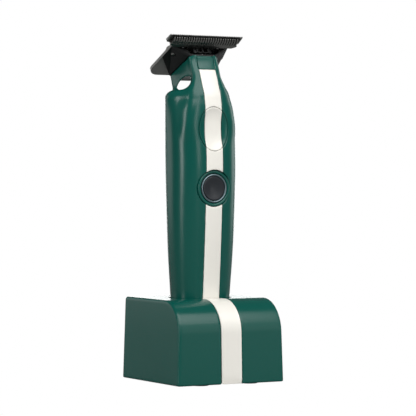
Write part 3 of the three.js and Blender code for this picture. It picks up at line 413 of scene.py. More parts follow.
# %% A material from a group, a colour and its second tone
def material(name, group, color, tone, rough, bump, metallic=0.0, coat=0.0, coat_rough=0.1,
             specular=0.5):
    made = bpy.data.materials.new(name)
    made.use_nodes = True
    tree = made.node_tree
    shader = tree.nodes["Principled BSDF"]
    detail = tree.nodes.new("ShaderNodeGroup")
    detail.node_tree = group
    detail.inputs["Rough Low"].default_value, detail.inputs["Rough High"].default_value = rough
    detail.inputs["Bump"].default_value = bump
    mix = tree.nodes.new("ShaderNodeMix")
    mix.data_type = "RGBA"
    mix.inputs[6].default_value, mix.inputs[7].default_value = (*color, 1), (*tone, 1)
    tree.links.new(detail.outputs["Tone"], mix.inputs[0])
    tree.links.new(mix.outputs[2], shader.inputs["Base Color"])
    tree.links.new(detail.outputs["Roughness"], shader.inputs["Roughness"])
    tree.links.new(detail.outputs["Normal"], shader.inputs["Normal"])
    shader.inputs["Metallic"].default_value = metallic
    shader.inputs["Coat Weight"].default_value = coat
    shader.inputs["Coat Roughness"].default_value = coat_rough
    shader.inputs["Specular IOR Level"].default_value = specular
    made.diffuse_color = (*color, 1)
    return made


green = material("green_lacquer", spray, (0.0010, 0.074, 0.057), (0.0014, 0.085, 0.066),
                 (0.21, 0.27), 0.10, specular=0.36)
cream = material("cream_lacquer", spray, (0.86, 0.83, 0.76), (0.90, 0.875, 0.81),
                 (0.3, 0.38), 0.1, coat=0.1, coat_rough=0.2)
black = material("black_plastic", grain, (0.004, 0.0045, 0.0045), (0.007, 0.008, 0.008),
                 (0.4, 0.52), 0.3, specular=0.25)
blade = material("blade_steel", grinding, (0.21, 0.21, 0.20), (0.25, 0.25, 0.24),
                 (0.36, 0.48), 0.35, metallic=0.85)
# The comb's teeth: the comb's own steel painted much darker, a painted shade for teeth seen from below.
teeth_steel_painted_shade = material("teeth_steel_painted_shade", grinding, (0.045, 0.045, 0.042), (0.065, 0.065, 0.06),
                      (0.34, 0.44), 0.35, metallic=0.85)
cutter_steel = material("cutter_steel", grinding, (0.16, 0.16, 0.152), (0.22, 0.22, 0.21),
                        (0.32, 0.44), 0.35, metallic=1.0)
bright = material("bright_steel", grinding, (0.55, 0.56, 0.56), (0.66, 0.67, 0.67),
                  (0.25, 0.36), 0.25, metallic=1.0)
pewter = material("pewter", grinding, (0.17, 0.235, 0.26), (0.21, 0.28, 0.305),
                  (0.34, 0.42), 0.15, metallic=0.85)
navy = material("navy_plastic", grain, (0.007, 0.010, 0.014), (0.010, 0.013, 0.018),
                (0.34, 0.42), 0.25, coat=0.1)
grey = material("grey_plastic", grain, (0.04, 0.045, 0.05), (0.055, 0.06, 0.065),
                (0.5, 0.62), 0.3)
brass = material("brass", grinding, (0.58, 0.40, 0.12), (0.66, 0.47, 0.16), (0.25, 0.35), 0.2,
                 metallic=1.0)
board_green = material("board", grain, (0.008, 0.06, 0.02), (0.012, 0.075, 0.027), (0.4, 0.5), 0.3)
cell_wrap = material("cell", spray, (0.02, 0.09, 0.3), (0.025, 0.11, 0.34), (0.3, 0.4), 0.1)
rubber = material("rubber", grain, (0.008, 0.008, 0.008), (0.013, 0.013, 0.013), (0.75, 0.88), 0.4)

finishes = {
    "green_lacquer": green, "cream_lacquer": cream, "black_plastic": black,
    "blade_steel": blade, "bright_steel": bright, "pewter": pewter, "navy_plastic": navy,
    "grey_plastic": grey, "brass": brass, "board": board_green, "cell": cell_wrap,
    "rubber": rubber,
}
slot_of = {part["node"]: part["material_slot"] for part in frame["record"]["subparts"]}
for node, piece in frame["nodes"].items():
    piece.data.materials.clear()
    piece.data.materials.append(finishes[slot_of[node]])
print(len(finishes), "finishes on", len(slot_of), "CAD nodes")

finish(body_skin, "clipper", green, "green_lacquer", "body_shell")


# %% [markdown]
# ## Inlays that follow the front
# The stripe and the small cap at the top are thin strips let into the front. Each is a grid
# laid on the front surface, with its border turned down a little, and given a back. The thumb
# rest is the same with a dish pressed into it.

# %% A closed slab from a grid on a surface
def slab(name, x, h, y, thickness, at):
    rows, columns = x.shape
    face = np.stack([x, y, h], -1)
    back = face + np.array([0, thickness, 0])
    points = np.concatenate([face.reshape(-1, 3), back.reshape(-1, 3)])
    number = np.arange(rows * columns).reshape(rows, columns)
    a, b, c, d = number[:-1, :-1], number[:-1, 1:], number[1:, 1:], number[1:, :-1]
    front = np.stack([a, b, c, d], -1).reshape(-1, 4)
    rear = front[:, ::-1] + rows * columns
    border = np.concatenate([number[0, :], number[1:, -1], number[-1, -2::-1], number[-2:0:-1, 0]])
    ahead = np.roll(border, -1)
    wall = np.stack([ahead, border, border + rows * columns, ahead + rows * columns], -1)
    piece = mesh_object(name, points, np.concatenate([front, rear, wall]), at)
    piece.data.set_sharp_from_angle(angle=math.radians(50))
    return piece


def front_inlay(name, columns, low, high, rows, surface_y, turned=0.12, thickness=inlay_depth):
    """Columns of x, and the heights low(x) to high(x) that the inlay fills."""
    x = np.asarray(columns, float)
    edge = np.array([0, turned / 2, turned])
    share = np.linspace(0, 1, rows)
    heights = low(x)[None] + turned + share[:, None] * (high(x) - low(x) - 2 * turned)[None]
    heights = np.concatenate([
        low(x)[None] + edge[:2, None], heights, high(x)[None] - edge[1::-1, None],
    ])
    grid_x = np.broadcast_to(x, heights.shape).copy()
    y = surface_y(grid_x, heights)
    drop = np.zeros(heights.shape)
    for ring, fall in ((0, turned), (1, turned * 0.3)):
        drop[[ring, -1 - ring], :] = np.maximum(drop[[ring, -1 - ring], :], fall)
        drop[:, [ring, -1 - ring]] = np.maximum(drop[:, [ring, -1 - ring]], fall)
    return slab(name, grid_x, heights, y + drop, thickness, seat)


def strip_columns(half, turned=0.12, count=11):
    inner = np.linspace(-half + turned, half - turned, count)
    return np.concatenate([[-half, -half + turned / 2], inner, [half - turned / 2, half]])


button_arc = lambda x: np.sqrt((bezel_radius + 0.25) ** 2 - x**2)
thumb_arc = lambda x, grow: (thumb_half_h + grow) * np.sqrt(1 - (x / (thumb_half_w + grow)) ** 2)
constant = lambda value: lambda x: np.full(np.shape(x), float(value))
strip = strip_columns(stripe_half)
nose_foot = shoulder + neck_top_front - 6.8

# %% Stripe and nose cap
lower = front_inlay("stripe_lower_skin", strip, constant(grip_foot + 0.1),
                    lambda x: button_height - button_arc(x), 90, front_depth)
middle = front_inlay("stripe_middle_skin", strip, lambda x: button_height + button_arc(x),
                     lambda x: thumb_mid - thumb_arc(x, 0.12), 20, front_depth)
upper = front_inlay("stripe_neck_skin", strip, lambda x: thumb_mid + thumb_arc(x, 0.12),
                    constant(nose_foot - 0.12), 40, front_depth)
nose = front_inlay("nose_cap_skin", strip, constant(nose_foot + 0.12),
                   constant(shoulder + neck_top_front - 0.35), 16, front_depth, turned=0.3)
for piece, node in ((lower, "stripe_lower"), (middle, "stripe_middle"), (upper, "stripe_neck")):
    finish(piece, "clipper", cream, "cream_lacquer", node)
finish(nose, "clipper", green, "green_lacquer", "nose_cap")

# %% Thumb rest with its dish
dish_depth = 1.6


def thumb_surface(x, h):
    r = np.hypot(x / thumb_half_w, (h - thumb_mid) / thumb_half_h)
    dish = dish_depth * np.clip(1 - (r / 0.95) ** 3.2, 0, 1)
    return front_depth(x, h) + 0.12 + dish


thumb_edge = stripe_half + seam
wide = thumb_half_w - 0.12
side_columns = np.array([thumb_edge + 0.12, 5.4, 6.0, 6.6, 7.1, 7.5, 7.8, 7.98, wide - 0.06, wide - 0.015])
middle_columns = np.linspace(-thumb_edge, thumb_edge, 15)
thumb_columns = np.concatenate([-side_columns[::-1], middle_columns, side_columns])
sunk = lambda x: np.abs(x) <= thumb_edge + 0.01
thumb_rest = front_inlay(
    "thumb_rest_skin", thumb_columns, lambda x: thumb_mid - thumb_arc(x, -0.1),
    lambda x: thumb_mid + thumb_arc(x, -0.1), 48,
    lambda x, h: thumb_surface(x, h) + np.where(sunk(x), inlay_depth + 0.1, 0), thickness=2.6,
)
thumb_stripe = front_inlay(
    "stripe_thumb_skin", strip, lambda x: thumb_mid - thumb_arc(x, -0.15),
    lambda x: thumb_mid + thumb_arc(x, -0.15), 48, thumb_surface,
)
finish(thumb_rest, "clipper", green, "green_lacquer", "thumb_rest")
finish(thumb_stripe, "clipper", cream, "cream_lacquer", "stripe_thumb")

# %% [markdown]
# ## The power button
# A button like this is turned work: a lacquered bezel, a metal ring and a dished cap. Each is
# a profile spun about the button's axis, with its edges rounded in the profile itself.

# %% Profiles spun about the button's axis
def spun(name, profile, at, turns=96):
    profile = np.array(profile, float)
    angle = np.linspace(0, 2 * math.pi, turns, endpoint=False)
    closed = profile[0, 0] > 0
    points = np.stack([
        np.outer(np.cos(angle), profile[:, 0]),
        np.broadcast_to(profile[:, 1], (turns, len(profile))),
        np.outer(np.sin(angle), profile[:, 0]),
    ], -1).reshape(-1, 3)
    number = np.arange(turns * len(profile)).reshape(turns, len(profile))
    beyond = np.roll(number, -1, axis=0)
    steps = len(profile) if closed else len(profile) - 1
    faces = [
        [number[t, s], number[t, (s + 1) % len(profile)], beyond[t, (s + 1) % len(profile)], beyond[t, s]]
        for t in range(turns) for s in range(steps)
    ]
    piece = mesh_object(name, points, faces, at)
    work = bmesh.new()
    work.from_mesh(piece.data)
    bmesh.ops.remove_doubles(work, verts=work.verts, dist=1e-7)
    bmesh.ops.dissolve_degenerate(work, edges=work.edges, dist=1e-8)
    bmesh.ops.recalc_face_normals(work, faces=work.faces)
    work.to_mesh(piece.data)
    work.free()
    piece.data.set_sharp_from_angle(angle=math.radians(40))
    return piece


centre = seat + np.array([0, 0, button_height])
f = bezel_face
ring_radius = (span("button_ring")[1][0] - span("button_ring")[0][0]) / 2
cap_radius = (span("power_button")[1][0] - span("power_button")[0][0]) / 2
bezel = spun("button_bezel_skin", [
    (bezel_radius, f + 2.6), (bezel_radius, f + 0.7), (bezel_radius - 0.08, f + 0.38),
    (bezel_radius - 0.28, f + 0.13), (bezel_radius - 0.6, f + 0.01), (8.3, f), (8.0, f + 0.08),
    (7.78, f + 0.26), (ring_radius + 0.26, f + 0.6), (ring_radius + 0.22, f + 2.6),
], centre)
ring = spun("button_ring_skin", [
    (ring_radius, f + 2.6), (ring_radius, f + 0.35), (7.17, f + 0.1), (6.98, f - 0.06),
    (6.8, f - 0.1), (6.62, f - 0.04), (6.48, f + 0.14), (cap_radius + 0.22, f + 0.5),
    (cap_radius + 0.22, f + 2.6),
], centre)
dished = [(r, f + 0.26 + 0.75 * (1 - (r / 5.5) ** 2) ** 1.3) for r in np.linspace(0, 5.4, 14)]
cap = spun("power_button_skin", [(0, f + 1.6)] + [(cap_radius, f + 1.6), (cap_radius, f + 0.5),
           (cap_radius - 0.07, f + 0.33), (cap_radius - 0.22, f + 0.22),
           (cap_radius - 0.42, f + 0.2)] + dished[::-1], centre)
finish(bezel, "clipper", green, "green_lacquer", "button_bezel")
finish(ring, "clipper", pewter, "pewter", "button_ring")
finish(cap, "power_button", navy, "navy_plastic", "power_button")

# %% [markdown]
# ## The dock
# The dock is one heavy shell with drafted sides, a large round over its front and small rounds
# on every other edge. It is a field again, because a rounded maximum of its planes gives every
# fillet in one go. The stripe runs up its front, over the round and into the socket.

# %% The dock's outside
dock_low, dock_high = span("dock_shell")
draft = math.tan(math.radians(1.4))
half_wide, half_deep, dock_top, dock_foot = 30.3, 30.5, dock_high[2], dock_low[2]
dock_round = 16.0


def dock_outside(x, y, z):
    lean = math.cos(math.atan(draft))
    front, rear = (-y - half_deep + draft * z) * lean, (y - half_deep + draft * z) * lean
    shape = round_max(round_max(front, z - dock_top, dock_round), rear, 1.6)
    shape = round_max(shape, (np.abs(x) - half_wide + draft * z) * lean, 1.1)
    return round_max(shape, dock_foot - z, 0.7)


dock_stripe_half, inlet_z = 5.7, 13.5


def dock_field(x, y, z):
    outside = dock_outside(x, y, z)
    channel = np.maximum(np.maximum(np.abs(x) - dock_stripe_half - seam, -outside - 1.15), y + 2)
    socket = np.maximum(grip(x, y - seat_y, np.maximum(z - seat_z, 6)) - 0.8, 27 - z)
    under = np.maximum(np.maximum(np.abs(x) - 28.1 + draft * z, np.abs(y) - 28.3 + draft * z), z - 3.6)
    inlet = np.hypot(np.maximum(np.abs(x) - 2.85, 0), z - inlet_z) - 1.95
    inlet = np.maximum(inlet, 20 - y)
    shape = cut(cut(outside, channel, 0.12), socket, 0.5)
    return cut(cut(shape, under, 0.2), inlet, 0.3)


points, quads = surface(dock_field, (-31, -31, 0), (31, 31, 43), 0.62)
finish(mesh_object("dock_skin", points, quads), "dock", green, "green_lacquer", "dock_shell")

# %% The dock's stripe, laid along the front, the round and the top
def on_dock(y, z):
    for _ in range(6):
        value = dock_outside(0 * y, y, z)
        dy = (dock_outside(0 * y, y + 0.02, z) - value) / 0.02
        dz = (dock_outside(0 * y, y, z + 0.02) - value) / 0.02
        y, z = y - value * dy, z - value * dz
    return y, z, dy, dz


turn = np.radians(np.linspace(0, 90, 30))
round_y, round_z = -half_deep + draft * 27 + dock_round, dock_top - dock_round
path_y = np.concatenate([np.full(12, -30.0), round_y - dock_round * np.cos(turn), [-12.5, -11.4]])
path_z = np.concatenate([np.linspace(dock_foot + 0.25, round_z - 0.5, 12),
                         round_z + dock_round * np.sin(turn), [dock_top] * 2])
path_y, path_z, across_y, across_z = on_dock(path_y, path_z)
columns = strip_columns(dock_stripe_half)
drop = np.zeros((len(path_y), len(columns)))
drop[:, [0, -1]], drop[:, [1, -2]] = 0.12, 0.036
grid_x = np.broadcast_to(columns, drop.shape)
socket_front = seat_y + front_depth(columns, np.full(len(columns), dock_top - seat_z), grip) - 0.85
ends = np.broadcast_to(path_y[:, None], drop.shape).copy()
ends[-1] = socket_front
face_y = ends + drop * across_y[:, None]
face_y[:-1] = np.minimum(face_y[:-1], socket_front - 0.3)
face = np.stack([grid_x, face_y, path_z[:, None] - drop * across_z[:, None]], -1)
depth = np.stack([0 * path_y, -across_y, -across_z], -1)[:, None]
rows, count = drop.shape
number = np.arange(rows * count).reshape(rows, count)
front = np.stack([number[:-1, :-1], number[:-1, 1:], number[1:, 1:], number[1:, :-1]], -1).reshape(-1, 4)
border = np.concatenate([number[0, :], number[1:, -1], number[-1, -2::-1], number[-2:0:-1, 0]])
ahead = np.roll(border, -1)
wall = np.stack([ahead, border, border + rows * count, ahead + rows * count], -1)
stripe = mesh_object("dock_stripe_skin",
                     np.concatenate([face.reshape(-1, 3), (face + depth).reshape(-1, 3)]),
                     np.concatenate([front, front[:, ::-1] + rows * count, wall]))
stripe.data.set_sharp_from_angle(angle=math.radians(50))
finish(stripe, "dock", cream, "cream_lacquer", "dock_stripe")

# %% [markdown]
# ## Small mouldings and fixings
# The head block, the drive fork, the spring and the caps are already right in the CAD, apart
# from their knife-sharp edges. A merged copy of each gets a bevel, so its edges catch light.

# %% Bevelled copies of CAD nodes
def softened(node, width, material_, angle=32, segments=2):
    piece = frame["nodes"][node]
    mesh = piece.data.copy()
    work = bmesh.new()
    work.from_mesh(mesh)
    bmesh.ops.remove_doubles(work, verts=work.verts, dist=2e-6)
    bmesh.ops.dissolve_limit(work, angle_limit=math.radians(1), verts=work.verts, edges=work.edges)
    work.to_mesh(mesh)
    work.free()
    soft = bpy.data.objects.new(node + "_skin", mesh)
    bpy.context.scene.collection.objects.link(soft)
    bevel = soft.modifiers.new("edges", "BEVEL")
    bevel.width, bevel.segments = width * MM, segments
    bevel.limit_method, bevel.angle_limit = "ANGLE", math.radians(angle)
    bevel.use_clamp_overlap = True
    mesh.polygons.foreach_set("use_smooth", [True] * len(mesh.polygons))
    mesh.set_sharp_from_angle(angle=math.radians(38))
    body = next(b for b, members in frame["record"]["behaviour"]["bodies"].items() if node in members)
    return finish(soft, body, material_, slot_of[node], node)


softened("head_block", 0.35, black)
softened("drive_fork", 0.15, black)
softened("blade_spring", 0.12, bright)
softened("bottom_cap", 0.2, black)
softened("socket_cup", 0.2, black)
softened("base_plate", 0.2, black)

# %% [markdown]
# ## The blades
# The comb is a ground plate with a tooth about every millimetre, and a second blade slides
# beneath it. The teeth repeat, so a small Geometry Nodes tree copies one tooth along a row and
# makes the copies real. The same tree lays out the dock's screws and feet.

# %% A tree that copies one piece over a grid of places
def layout_tree():
    tree = bpy.data.node_groups.new("copies_on_a_grid", "GeometryNodeTree")
    face = tree.interface
    face.new_socket("Geometry", in_out="OUTPUT", socket_type="NodeSocketGeometry")
    sockets = {}
    for label, kind in (("Piece", "NodeSocketObject"), ("Columns", "NodeSocketInt"),
                        ("Rows", "NodeSocketInt"), ("Column Pitch", "NodeSocketFloat"),
                        ("Row Pitch", "NodeSocketFloat"), ("Middle", "NodeSocketVector"),
                        ("Finish", "NodeSocketMaterial")):
        sockets[label] = face.new_socket(label, in_out="INPUT", socket_type=kind).identifier
    node = lambda kind: tree.nodes.new(kind)
    start, end = node("NodeGroupInput"), node("NodeGroupOutput")

    def math_node(operation, a, b):
        made = node("ShaderNodeMath")
        made.operation = operation
        for socket, value in zip(made.inputs, (a, b)):
            if isinstance(value, (int, float)):
                socket.default_value = value
            else:
                tree.links.new(value, socket)
        return made.outputs[0]

    index = node("GeometryNodeInputIndex").outputs[0]
    columns, rows = start.outputs["Columns"], start.outputs["Rows"]
    column = math_node("MODULO", index, columns)
    row = math_node("FLOOR", math_node("DIVIDE", index, columns), 0)
    centred = lambda value, count: math_node(
        "SUBTRACT", value, math_node("MULTIPLY", math_node("SUBTRACT", count, 1), 0.5))
    along = math_node("MULTIPLY", centred(column, columns), start.outputs["Column Pitch"])
    aside = math_node("MULTIPLY", centred(row, rows), start.outputs["Row Pitch"])
    place = node("ShaderNodeCombineXYZ")
    tree.links.new(along, place.inputs[0])
    tree.links.new(aside, place.inputs[1])
    shift = node("ShaderNodeVectorMath")
    tree.links.new(place.outputs[0], shift.inputs[0])
    tree.links.new(start.outputs["Middle"], shift.inputs[1])
    points = node("GeometryNodePoints")
    tree.links.new(math_node("MULTIPLY", columns, rows), points.inputs["Count"])
    tree.links.new(shift.outputs[0], points.inputs["Position"])
    source = node("GeometryNodeObjectInfo")
    tree.links.new(start.outputs["Piece"], source.inputs["Object"])
    copies, real, paint = (node("GeometryNodeInstanceOnPoints"), node("GeometryNodeRealizeInstances"),
                           node("GeometryNodeSetMaterial"))
    tree.links.new(points.outputs[0], copies.inputs["Points"])
    tree.links.new(source.outputs["Geometry"], copies.inputs["Instance"])
    tree.links.new(copies.outputs[0], real.inputs[0])
    tree.links.new(real.outputs[0], paint.inputs["Geometry"])
    tree.links.new(start.outputs["Finish"], paint.inputs["Material"])
    tree.links.new(paint.outputs[0], end.inputs[0])
    return tree, sockets


grid_tree, grid_sockets = layout_tree()


def copies(name, source, columns, rows, column_pitch, row_pitch, middle, material_, place=None):
    """Copies of source, which is removed. place then turns them into the row's frame."""
    holder = bpy.data.objects.new(name, bpy.data.meshes.new(name))
    bpy.context.scene.collection.objects.link(holder)
    modifier = holder.modifiers.new("copies", "NODES")
    modifier.node_group = grid_tree
    for label, value in (("Piece", source), ("Columns", columns), ("Rows", rows),
                         ("Column Pitch", column_pitch * MM), ("Row Pitch", row_pitch * MM),
                         ("Middle", tuple(np.array(middle, float) * MM)), ("Finish", material_)):
        modifier[grid_sockets[label]] = value
    bpy.context.view_layer.update()
    evaluated = holder.evaluated_get(bpy.context.evaluated_depsgraph_get())
    mesh = bpy.data.meshes.new_from_object(evaluated)
    holder.modifiers.remove(modifier)
    holder.data = mesh
    if place is not None:
        mesh.transform(place)
    mesh.set_sharp_from_angle(angle=math.radians(35))
    bpy.data.objects.remove(source)
    return holder


# %% The blades' own frame: x across, s back from the edge, n out of the comb
blade_slope = math.radians(32.5)
edge_ahead, edge_rise = 3.7, 10.8        # cutting edge, from the neck's front edge
blade_at = seat + np.array([0, neck_front_y - edge_ahead, shoulder + neck_top_front + edge_rise])
blade_place = (Matrix.Translation(Vector(blade_at * MM))
               @ Matrix.Rotation(-blade_slope, 4, "X"))
comb_half, comb_length, comb_top = 21.0, 34.8, 0.8
comb_under, cutter_top, cutter_under = -0.8, -1.1, -2.6
ground = lambda s: min(comb_top, comb_under + 0.45 + (s + 1) * (comb_top - comb_under - 0.45) / 7.5)


def plate(name, outline, low, high, folds=(), shape=None, bevel=0.12):
    work = bmesh.new()
    base = work.faces.new([work.verts.new((x * MM, s * MM, low * MM)) for x, s in outline])
    made = bmesh.ops.extrude_face_region(work, geom=[base])
    for vertex in (v for v in made["geom"] if isinstance(v, bmesh.types.BMVert)):
        vertex.co.z = high * MM
    for s in folds:
        bmesh.ops.bisect_plane(work, geom=work.verts[:] + work.edges[:] + work.faces[:],
                               plane_co=(0, s * MM, 0), plane_no=(0, 1, 0))
    if shape:
        for vertex in work.verts:
            vertex.co = Vector(shape(*(vertex.co / MM))) * MM
    bmesh.ops.recalc_face_normals(work, faces=work.faces)
    mesh = bpy.data.meshes.new(name)
    work.to_mesh(mesh)
    work.free()
    mesh.transform(blade_place)
    piece = bpy.data.objects.new(name, mesh)
    bpy.context.scene.collection.objects.link(piece)
    edges = piece.modifiers.new("edges", "BEVEL")
    edges.width, edges.segments, edges.limit_method = bevel * MM, 2, "ANGLE"
    edges.angle_limit = math.radians(25)
    mesh.polygons.foreach_set("use_smooth", [True] * len(mesh.polygons))
    mesh.set_sharp_from_angle(angle=math.radians(35))
    return piece


def tooth(name, sections):
    """A tooth from its root to its tip: each section is s, half-width, low n and high n."""
    points = [(x * w, s, n) for s, w, low, high in sections
              for x, n in ((-1, low), (1, low), (1, high), (-1, high))]
    faces = [[0, 3, 2, 1], [4 * len(sections) - 4 + i for i in range(4)]]
    for k in range(len(sections) - 1):
        for i in range(4):
            j = (i + 1) % 4
            faces.append([4 * k + i, 4 * k + j, 4 * k + 4 + j, 4 * k + 4 + i])
    piece = mesh_object(name, points, faces, smooth=False)
    work = bmesh.new()
    work.from_mesh(piece.data)
    bmesh.ops.recalc_face_normals(work, faces=work.faces)
    bmesh.ops.bevel(work, geom=work.edges[:], offset=0.05 * MM, segments=1, affect="EDGES")
    work.to_mesh(piece.data)
    work.free()
    return piece


# %% Comb plate and its teeth
def arc(middle, radius, start, end, count=8):
    turn = np.radians(np.linspace(start, end, count))
    return [(middle[0] + radius * math.cos(t), middle[1] + radius * math.sin(t)) for t in turn]


right_side = ([(20.2, 5.0), (20.2, 1.0)] + arc((20.6, 0.5), 0.4, 180, 360, 7)
              + [(comb_half, 1.0), (comb_half, 4.8)] + arc((20.2, 5.3), 0.8, 10, 75, 4)
              + [(18.6, 6.5), (17.4, 7.2), (16.7, 8.2), (16.4, 9.6), (16.9, 15.0), (17.6, 20.0)]
              + arc((13.6, 29.4), 5.4, 0, 90, 10))
comb_outline = right_side + [(-x, s) for x, s in right_side[::-1]]
comb = plate("comb_skin", comb_outline, comb_under, comb_top, folds=(6.5, 12),
             shape=lambda x, s, n: (x, s, ground(s) if n > 0 else n))
finish(comb, "clipper", blade, "blade_steel", "comb_blade")
pitch, comb_row = 1.05, 40.0
count = int(comb_row / pitch)
comb_tooth = tooth("comb_tooth", [
    (5.4, 0.38, comb_under, ground(5.4)), (2.6, 0.36, comb_under, ground(2.6)),
    (0.9, 0.30, comb_under, ground(0.9)), (0.15, 0.18, comb_under + 0.06, ground(0.1) - 0.05),
])
# The teeth take the darkened copy of the comb's steel, a painted shade.
teeth = copies("comb_teeth", comb_tooth, count, 1, pitch, 0, (0, 0, 0), teeth_steel_painted_shade, blade_place)
finish(teeth, "clipper", teeth_steel_painted_shade, "blade_steel")
print("comb teeth:", count)

# %% Cutter bar and its teeth
cutter_side = [(19.3, 5.2), (19.3, 6.2), (17.0, 7.6), (8.1, 7.6), (8.1, 12.6)]
cutter_outline = cutter_side + [(-x, s) for x, s in cutter_side[::-1]]
cutter = plate("cutter_skin", cutter_outline, cutter_under, cutter_top, folds=(6.4,), bevel=0.15)
finish(cutter, "cutter", cutter_steel, "blade_steel", "cutter_blade")
cutter_pitch, cutter_row = 1.4, 38.0
cutter_count = int(cutter_row / cutter_pitch)
cutter_tooth = tooth("cutter_tooth", [
    (5.5, 0.50, cutter_under, cutter_top), (3.2, 0.48, cutter_under + 0.1, cutter_top),
    (1.9, 0.40, cutter_under + 0.6, cutter_top), (1.25, 0.24, cutter_top - 0.4, cutter_top - 0.05),
])
cutter_teeth = copies("cutter_teeth", cutter_tooth, cutter_count, 1, cutter_pitch, 0, (0, 0, 0),
                      cutter_steel, blade_place)
finish(cutter_teeth, "cutter", cutter_steel, "blade_steel")
print("cutter teeth:", cutter_count)


# %% Screws and feet
def pan_screw(name, radius, rise, shank, length, turns=32):
    """A screw along z, its head above 0, with a slot across."""
    profile = [(0.0001, -length), (shank * 0.6, -length), (shank, -length + 0.5), (shank, 0),
               (radius, 0), (radius, rise * 0.45), (radius * 0.93, rise * 0.75),
               (radius * 0.75, rise * 0.93), (radius * 0.4, rise), (0.0001, rise)]
    angle = np.linspace(0, 2 * math.pi, turns, endpoint=False)
    points = [(r * math.cos(a), r * math.sin(a), z) for a in angle for r, z in profile]
    count = len(profile)
    faces = [[t * count + s, (t + 1) % turns * count + s, (t + 1) % turns * count + s + 1,
              t * count + s + 1] for t in range(turns) for s in range(count - 1)]
    piece = mesh_object(name, points, faces)
    work = bmesh.new()
    work.from_mesh(piece.data)
    bmesh.ops.remove_doubles(work, verts=work.verts, dist=5e-7)
    bmesh.ops.recalc_face_normals(work, faces=work.faces)
    work.to_mesh(piece.data)
    work.free()
    knife = mesh_object("knife", [(x * radius * 2, y * 0.28, rise - 0.55 + z * 2) for x in (-1, 1)
                                  for y in (-1, 1) for z in (0, 1)],
                        [[0, 1, 3, 2], [4, 6, 7, 5], [0, 4, 5, 1], [2, 3, 7, 6], [0, 2, 6, 4], [1, 5, 7, 3]],
                        smooth=False)
    slot = piece.modifiers.new("slot", "BOOLEAN")
    slot.object, slot.operation, slot.solver = knife, "DIFFERENCE", "EXACT"
    bpy.context.view_layer.update()
    mesh = bpy.data.meshes.new_from_object(piece.evaluated_get(bpy.context.evaluated_depsgraph_get()))
    piece.modifiers.clear()
    piece.data = mesh
    bpy.data.objects.remove(knife)
    return piece


blade_screw_x, blade_screw_s = 13.3, 15.0
blade_screws = copies("blade_screws", pan_screw("screw", 2.9, 1.5, 1.1, 3.3), 2, 1,
                      2 * blade_screw_x, 0, (0, blade_screw_s, comb_top + 0.3), blade, blade_place)
finish(blade_screws, "clipper", blade, "blade_steel", "blade_screw_left", "blade_screw_right")
neck_place = (Matrix.Translation(Vector((seat + np.array([0, 4.9, neck_top(4.9)])) * MM))
              @ Matrix.Rotation(-neck_slope, 4, "X"))
head_x = (span("head_screw_right")[0][0] + span("head_screw_right")[1][0]) / 2
head_screws = copies("head_screws", pan_screw("screw", 1.9, 1.2, 1.1, 6.2), 2, 1, 2 * head_x, 0,
                     (0, 0, 1.7), bright, neck_place)
finish(head_screws, "clipper", bright, "bright_steel", "head_screw_left", "head_screw_right")
low, high = span("dock_screw_4")
corner = (low + high) / 2
flip = Matrix.Rotation(math.pi, 4, "X")
under = Matrix.Translation(Vector((0, 0, (low[2] + 1.1) * MM))) @ flip
dock_screws = copies("dock_screws", pan_screw("screw", 2.3, 1.1, 1.1, 7.0), 2, 2, 2 * corner[0],
                     2 * corner[1], (0, 0, 0), bright, under)
finish(dock_screws, "dock", bright, "bright_steel", *[f"dock_screw_{n}" for n in (1, 2, 3, 4)])
low, high = span("dock_foot_4")
middle = (low + high) / 2
radius = (high[0] - low[0]) / 2
foot = spun("foot", [(0, 0), (radius - 0.4, 0), (radius - 0.1, 0.12), (radius, 0.4),
                     (radius, high[2]), (0, high[2])], (0, 0, 0), 40)
foot.data.transform(Matrix.Rotation(math.pi / 2, 4, "X"))
feet = copies("dock_feet", foot, 2, 2, 2 * middle[0], 2 * middle[1], (0, 0, 0), rubber)
finish(feet, "dock", rubber, "rubber", *[f"dock_foot_{n}" for n in (1, 2, 3, 4)])

# %% [markdown]
# ## Stage, light and camera
# The object stands on a white sweep in soft light. Tall soft boxes at the left give the body
# its long upright reflections, and a wide one above the front lights the dock's round.

# %% Floor
def stage_white(name, seen, dull):
    """White to the eye, and a duller white to everything else that it lights."""
    made = bpy.data.materials.new(name)
    made.use_nodes = True
    tree = made.node_tree
    tree.nodes.clear()
    out, mix = tree.nodes.new("ShaderNodeOutputMaterial"), tree.nodes.new("ShaderNodeMixShader")
    glow, flat = tree.nodes.new("ShaderNodeEmission"), tree.nodes.new("ShaderNodeBsdfDiffuse")
    path = tree.nodes.new("ShaderNodeLightPath")
    glow.inputs["Strength"].default_value = seen
    flat.inputs["Color"].default_value = (dull, dull, dull, 1)
    tree.links.new(path.outputs["Is Camera Ray"], mix.inputs[0])
    tree.links.new(flat.outputs[0], mix.inputs[1])
    tree.links.new(glow.outputs[0], mix.inputs[2])
    tree.links.new(mix.outputs[0], out.inputs[0])
    return made


floor = mesh_object("floor", [(-6000, -6000, 0), (6000, -6000, 0), (6000, 6000, 0), (-6000, 6000, 0)],
                    [[0, 1, 2, 3]], smooth=False)
floor.data.materials.append(stage_white("floor_white", 1.0, 0.35))

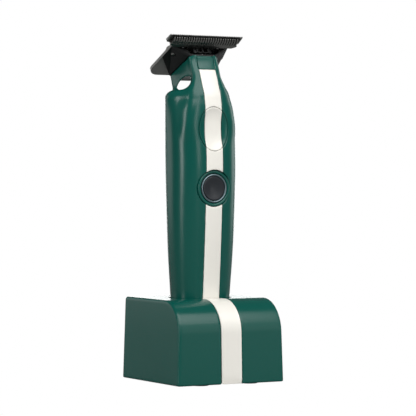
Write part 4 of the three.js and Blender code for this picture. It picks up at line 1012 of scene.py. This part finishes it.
# %% World and soft boxes
world = bpy.data.worlds.new("studio")
bpy.context.scene.world = world
world.use_nodes = True
tree = world.node_tree
tree.nodes.clear()
out, mix = tree.nodes.new("ShaderNodeOutputWorld"), tree.nodes.new("ShaderNodeMixShader")
seen, room = tree.nodes.new("ShaderNodeBackground"), tree.nodes.new("ShaderNodeBackground")
path = tree.nodes.new("ShaderNodeLightPath")
seen.inputs["Color"].default_value = (1, 1, 1, 1)
room.inputs["Color"].default_value = (0.93, 0.98, 1.0, 1)
room.inputs["Strength"].default_value = 0.12
tree.links.new(path.outputs["Is Camera Ray"], mix.inputs[0])
tree.links.new(room.outputs[0], mix.inputs[1])
tree.links.new(seen.outputs[0], mix.inputs[2])
tree.links.new(mix.outputs[0], out.inputs[0])


def soft_box(name, azimuth_deg, elevation_deg, distance, size, brightness):
    """A box of that brightness. Azimuth 0 is in front, 90 at the left; it faces the object."""
    a, e = math.radians(azimuth_deg), math.radians(elevation_deg)
    middle = Vector((0, 0, 0.09))
    at = middle + distance * Vector((-math.sin(a) * math.cos(e), -math.cos(a) * math.cos(e), math.sin(e)))
    data = bpy.data.lights.new(name, "AREA")
    data.shape, data.size, data.size_y = "RECTANGLE", size[0], size[1]
    data.energy = brightness * math.pi * size[0] * size[1]
    lamp = bpy.data.objects.new(name, data)
    bpy.context.scene.collection.objects.link(lamp)
    lamp.location = at
    lamp.rotation_euler = (middle - at).to_track_quat("-Z", "Y").to_euler()


soft_box("left_box", 84, 12, 1.3, (0.34, 0.8), 6.4)
soft_box("left_rear_box", 150, 10, 1.6, (0.7, 1.0), 0.9)
soft_box("front_left_box", 10, 16, 1.4, (0.16, 0.8), 5.0)
soft_box("front_top_box", 0, 50, 1.3, (1.6, 0.9), 4.0)
soft_box("front_right_box", -32, 10, 1.5, (0.6, 1.0), 1.0)
soft_box("right_box", -95, 12, 1.4, (0.5, 0.9), 2.2)
soft_box("back_box", -151, 3, 2.2, (2.6, 0.4), 3.0)

# %% Camera
camera_data = bpy.data.cameras.new("camera")
camera = bpy.data.objects.new("camera", camera_data)
bpy.context.scene.collection.objects.link(camera)
camera_data.lens, camera_data.sensor_width = 181.65, 36
azimuth, elevation = math.radians(-29.314), math.radians(0.539)
back = Vector((math.sin(azimuth) * math.cos(elevation), -math.cos(azimuth) * math.cos(elevation),
               math.sin(elevation)))
camera.location = (-0.522125, -0.935885, 0.098236)
camera.rotation_euler = back.to_track_quat("Z", "Y").to_euler()
camera_data.clip_end = 50
bpy.context.scene.camera = camera
bpy.context.scene.view_settings.view_transform = "Standard"

# %% Bring the scene up to date
bpy.context.view_layer.update()
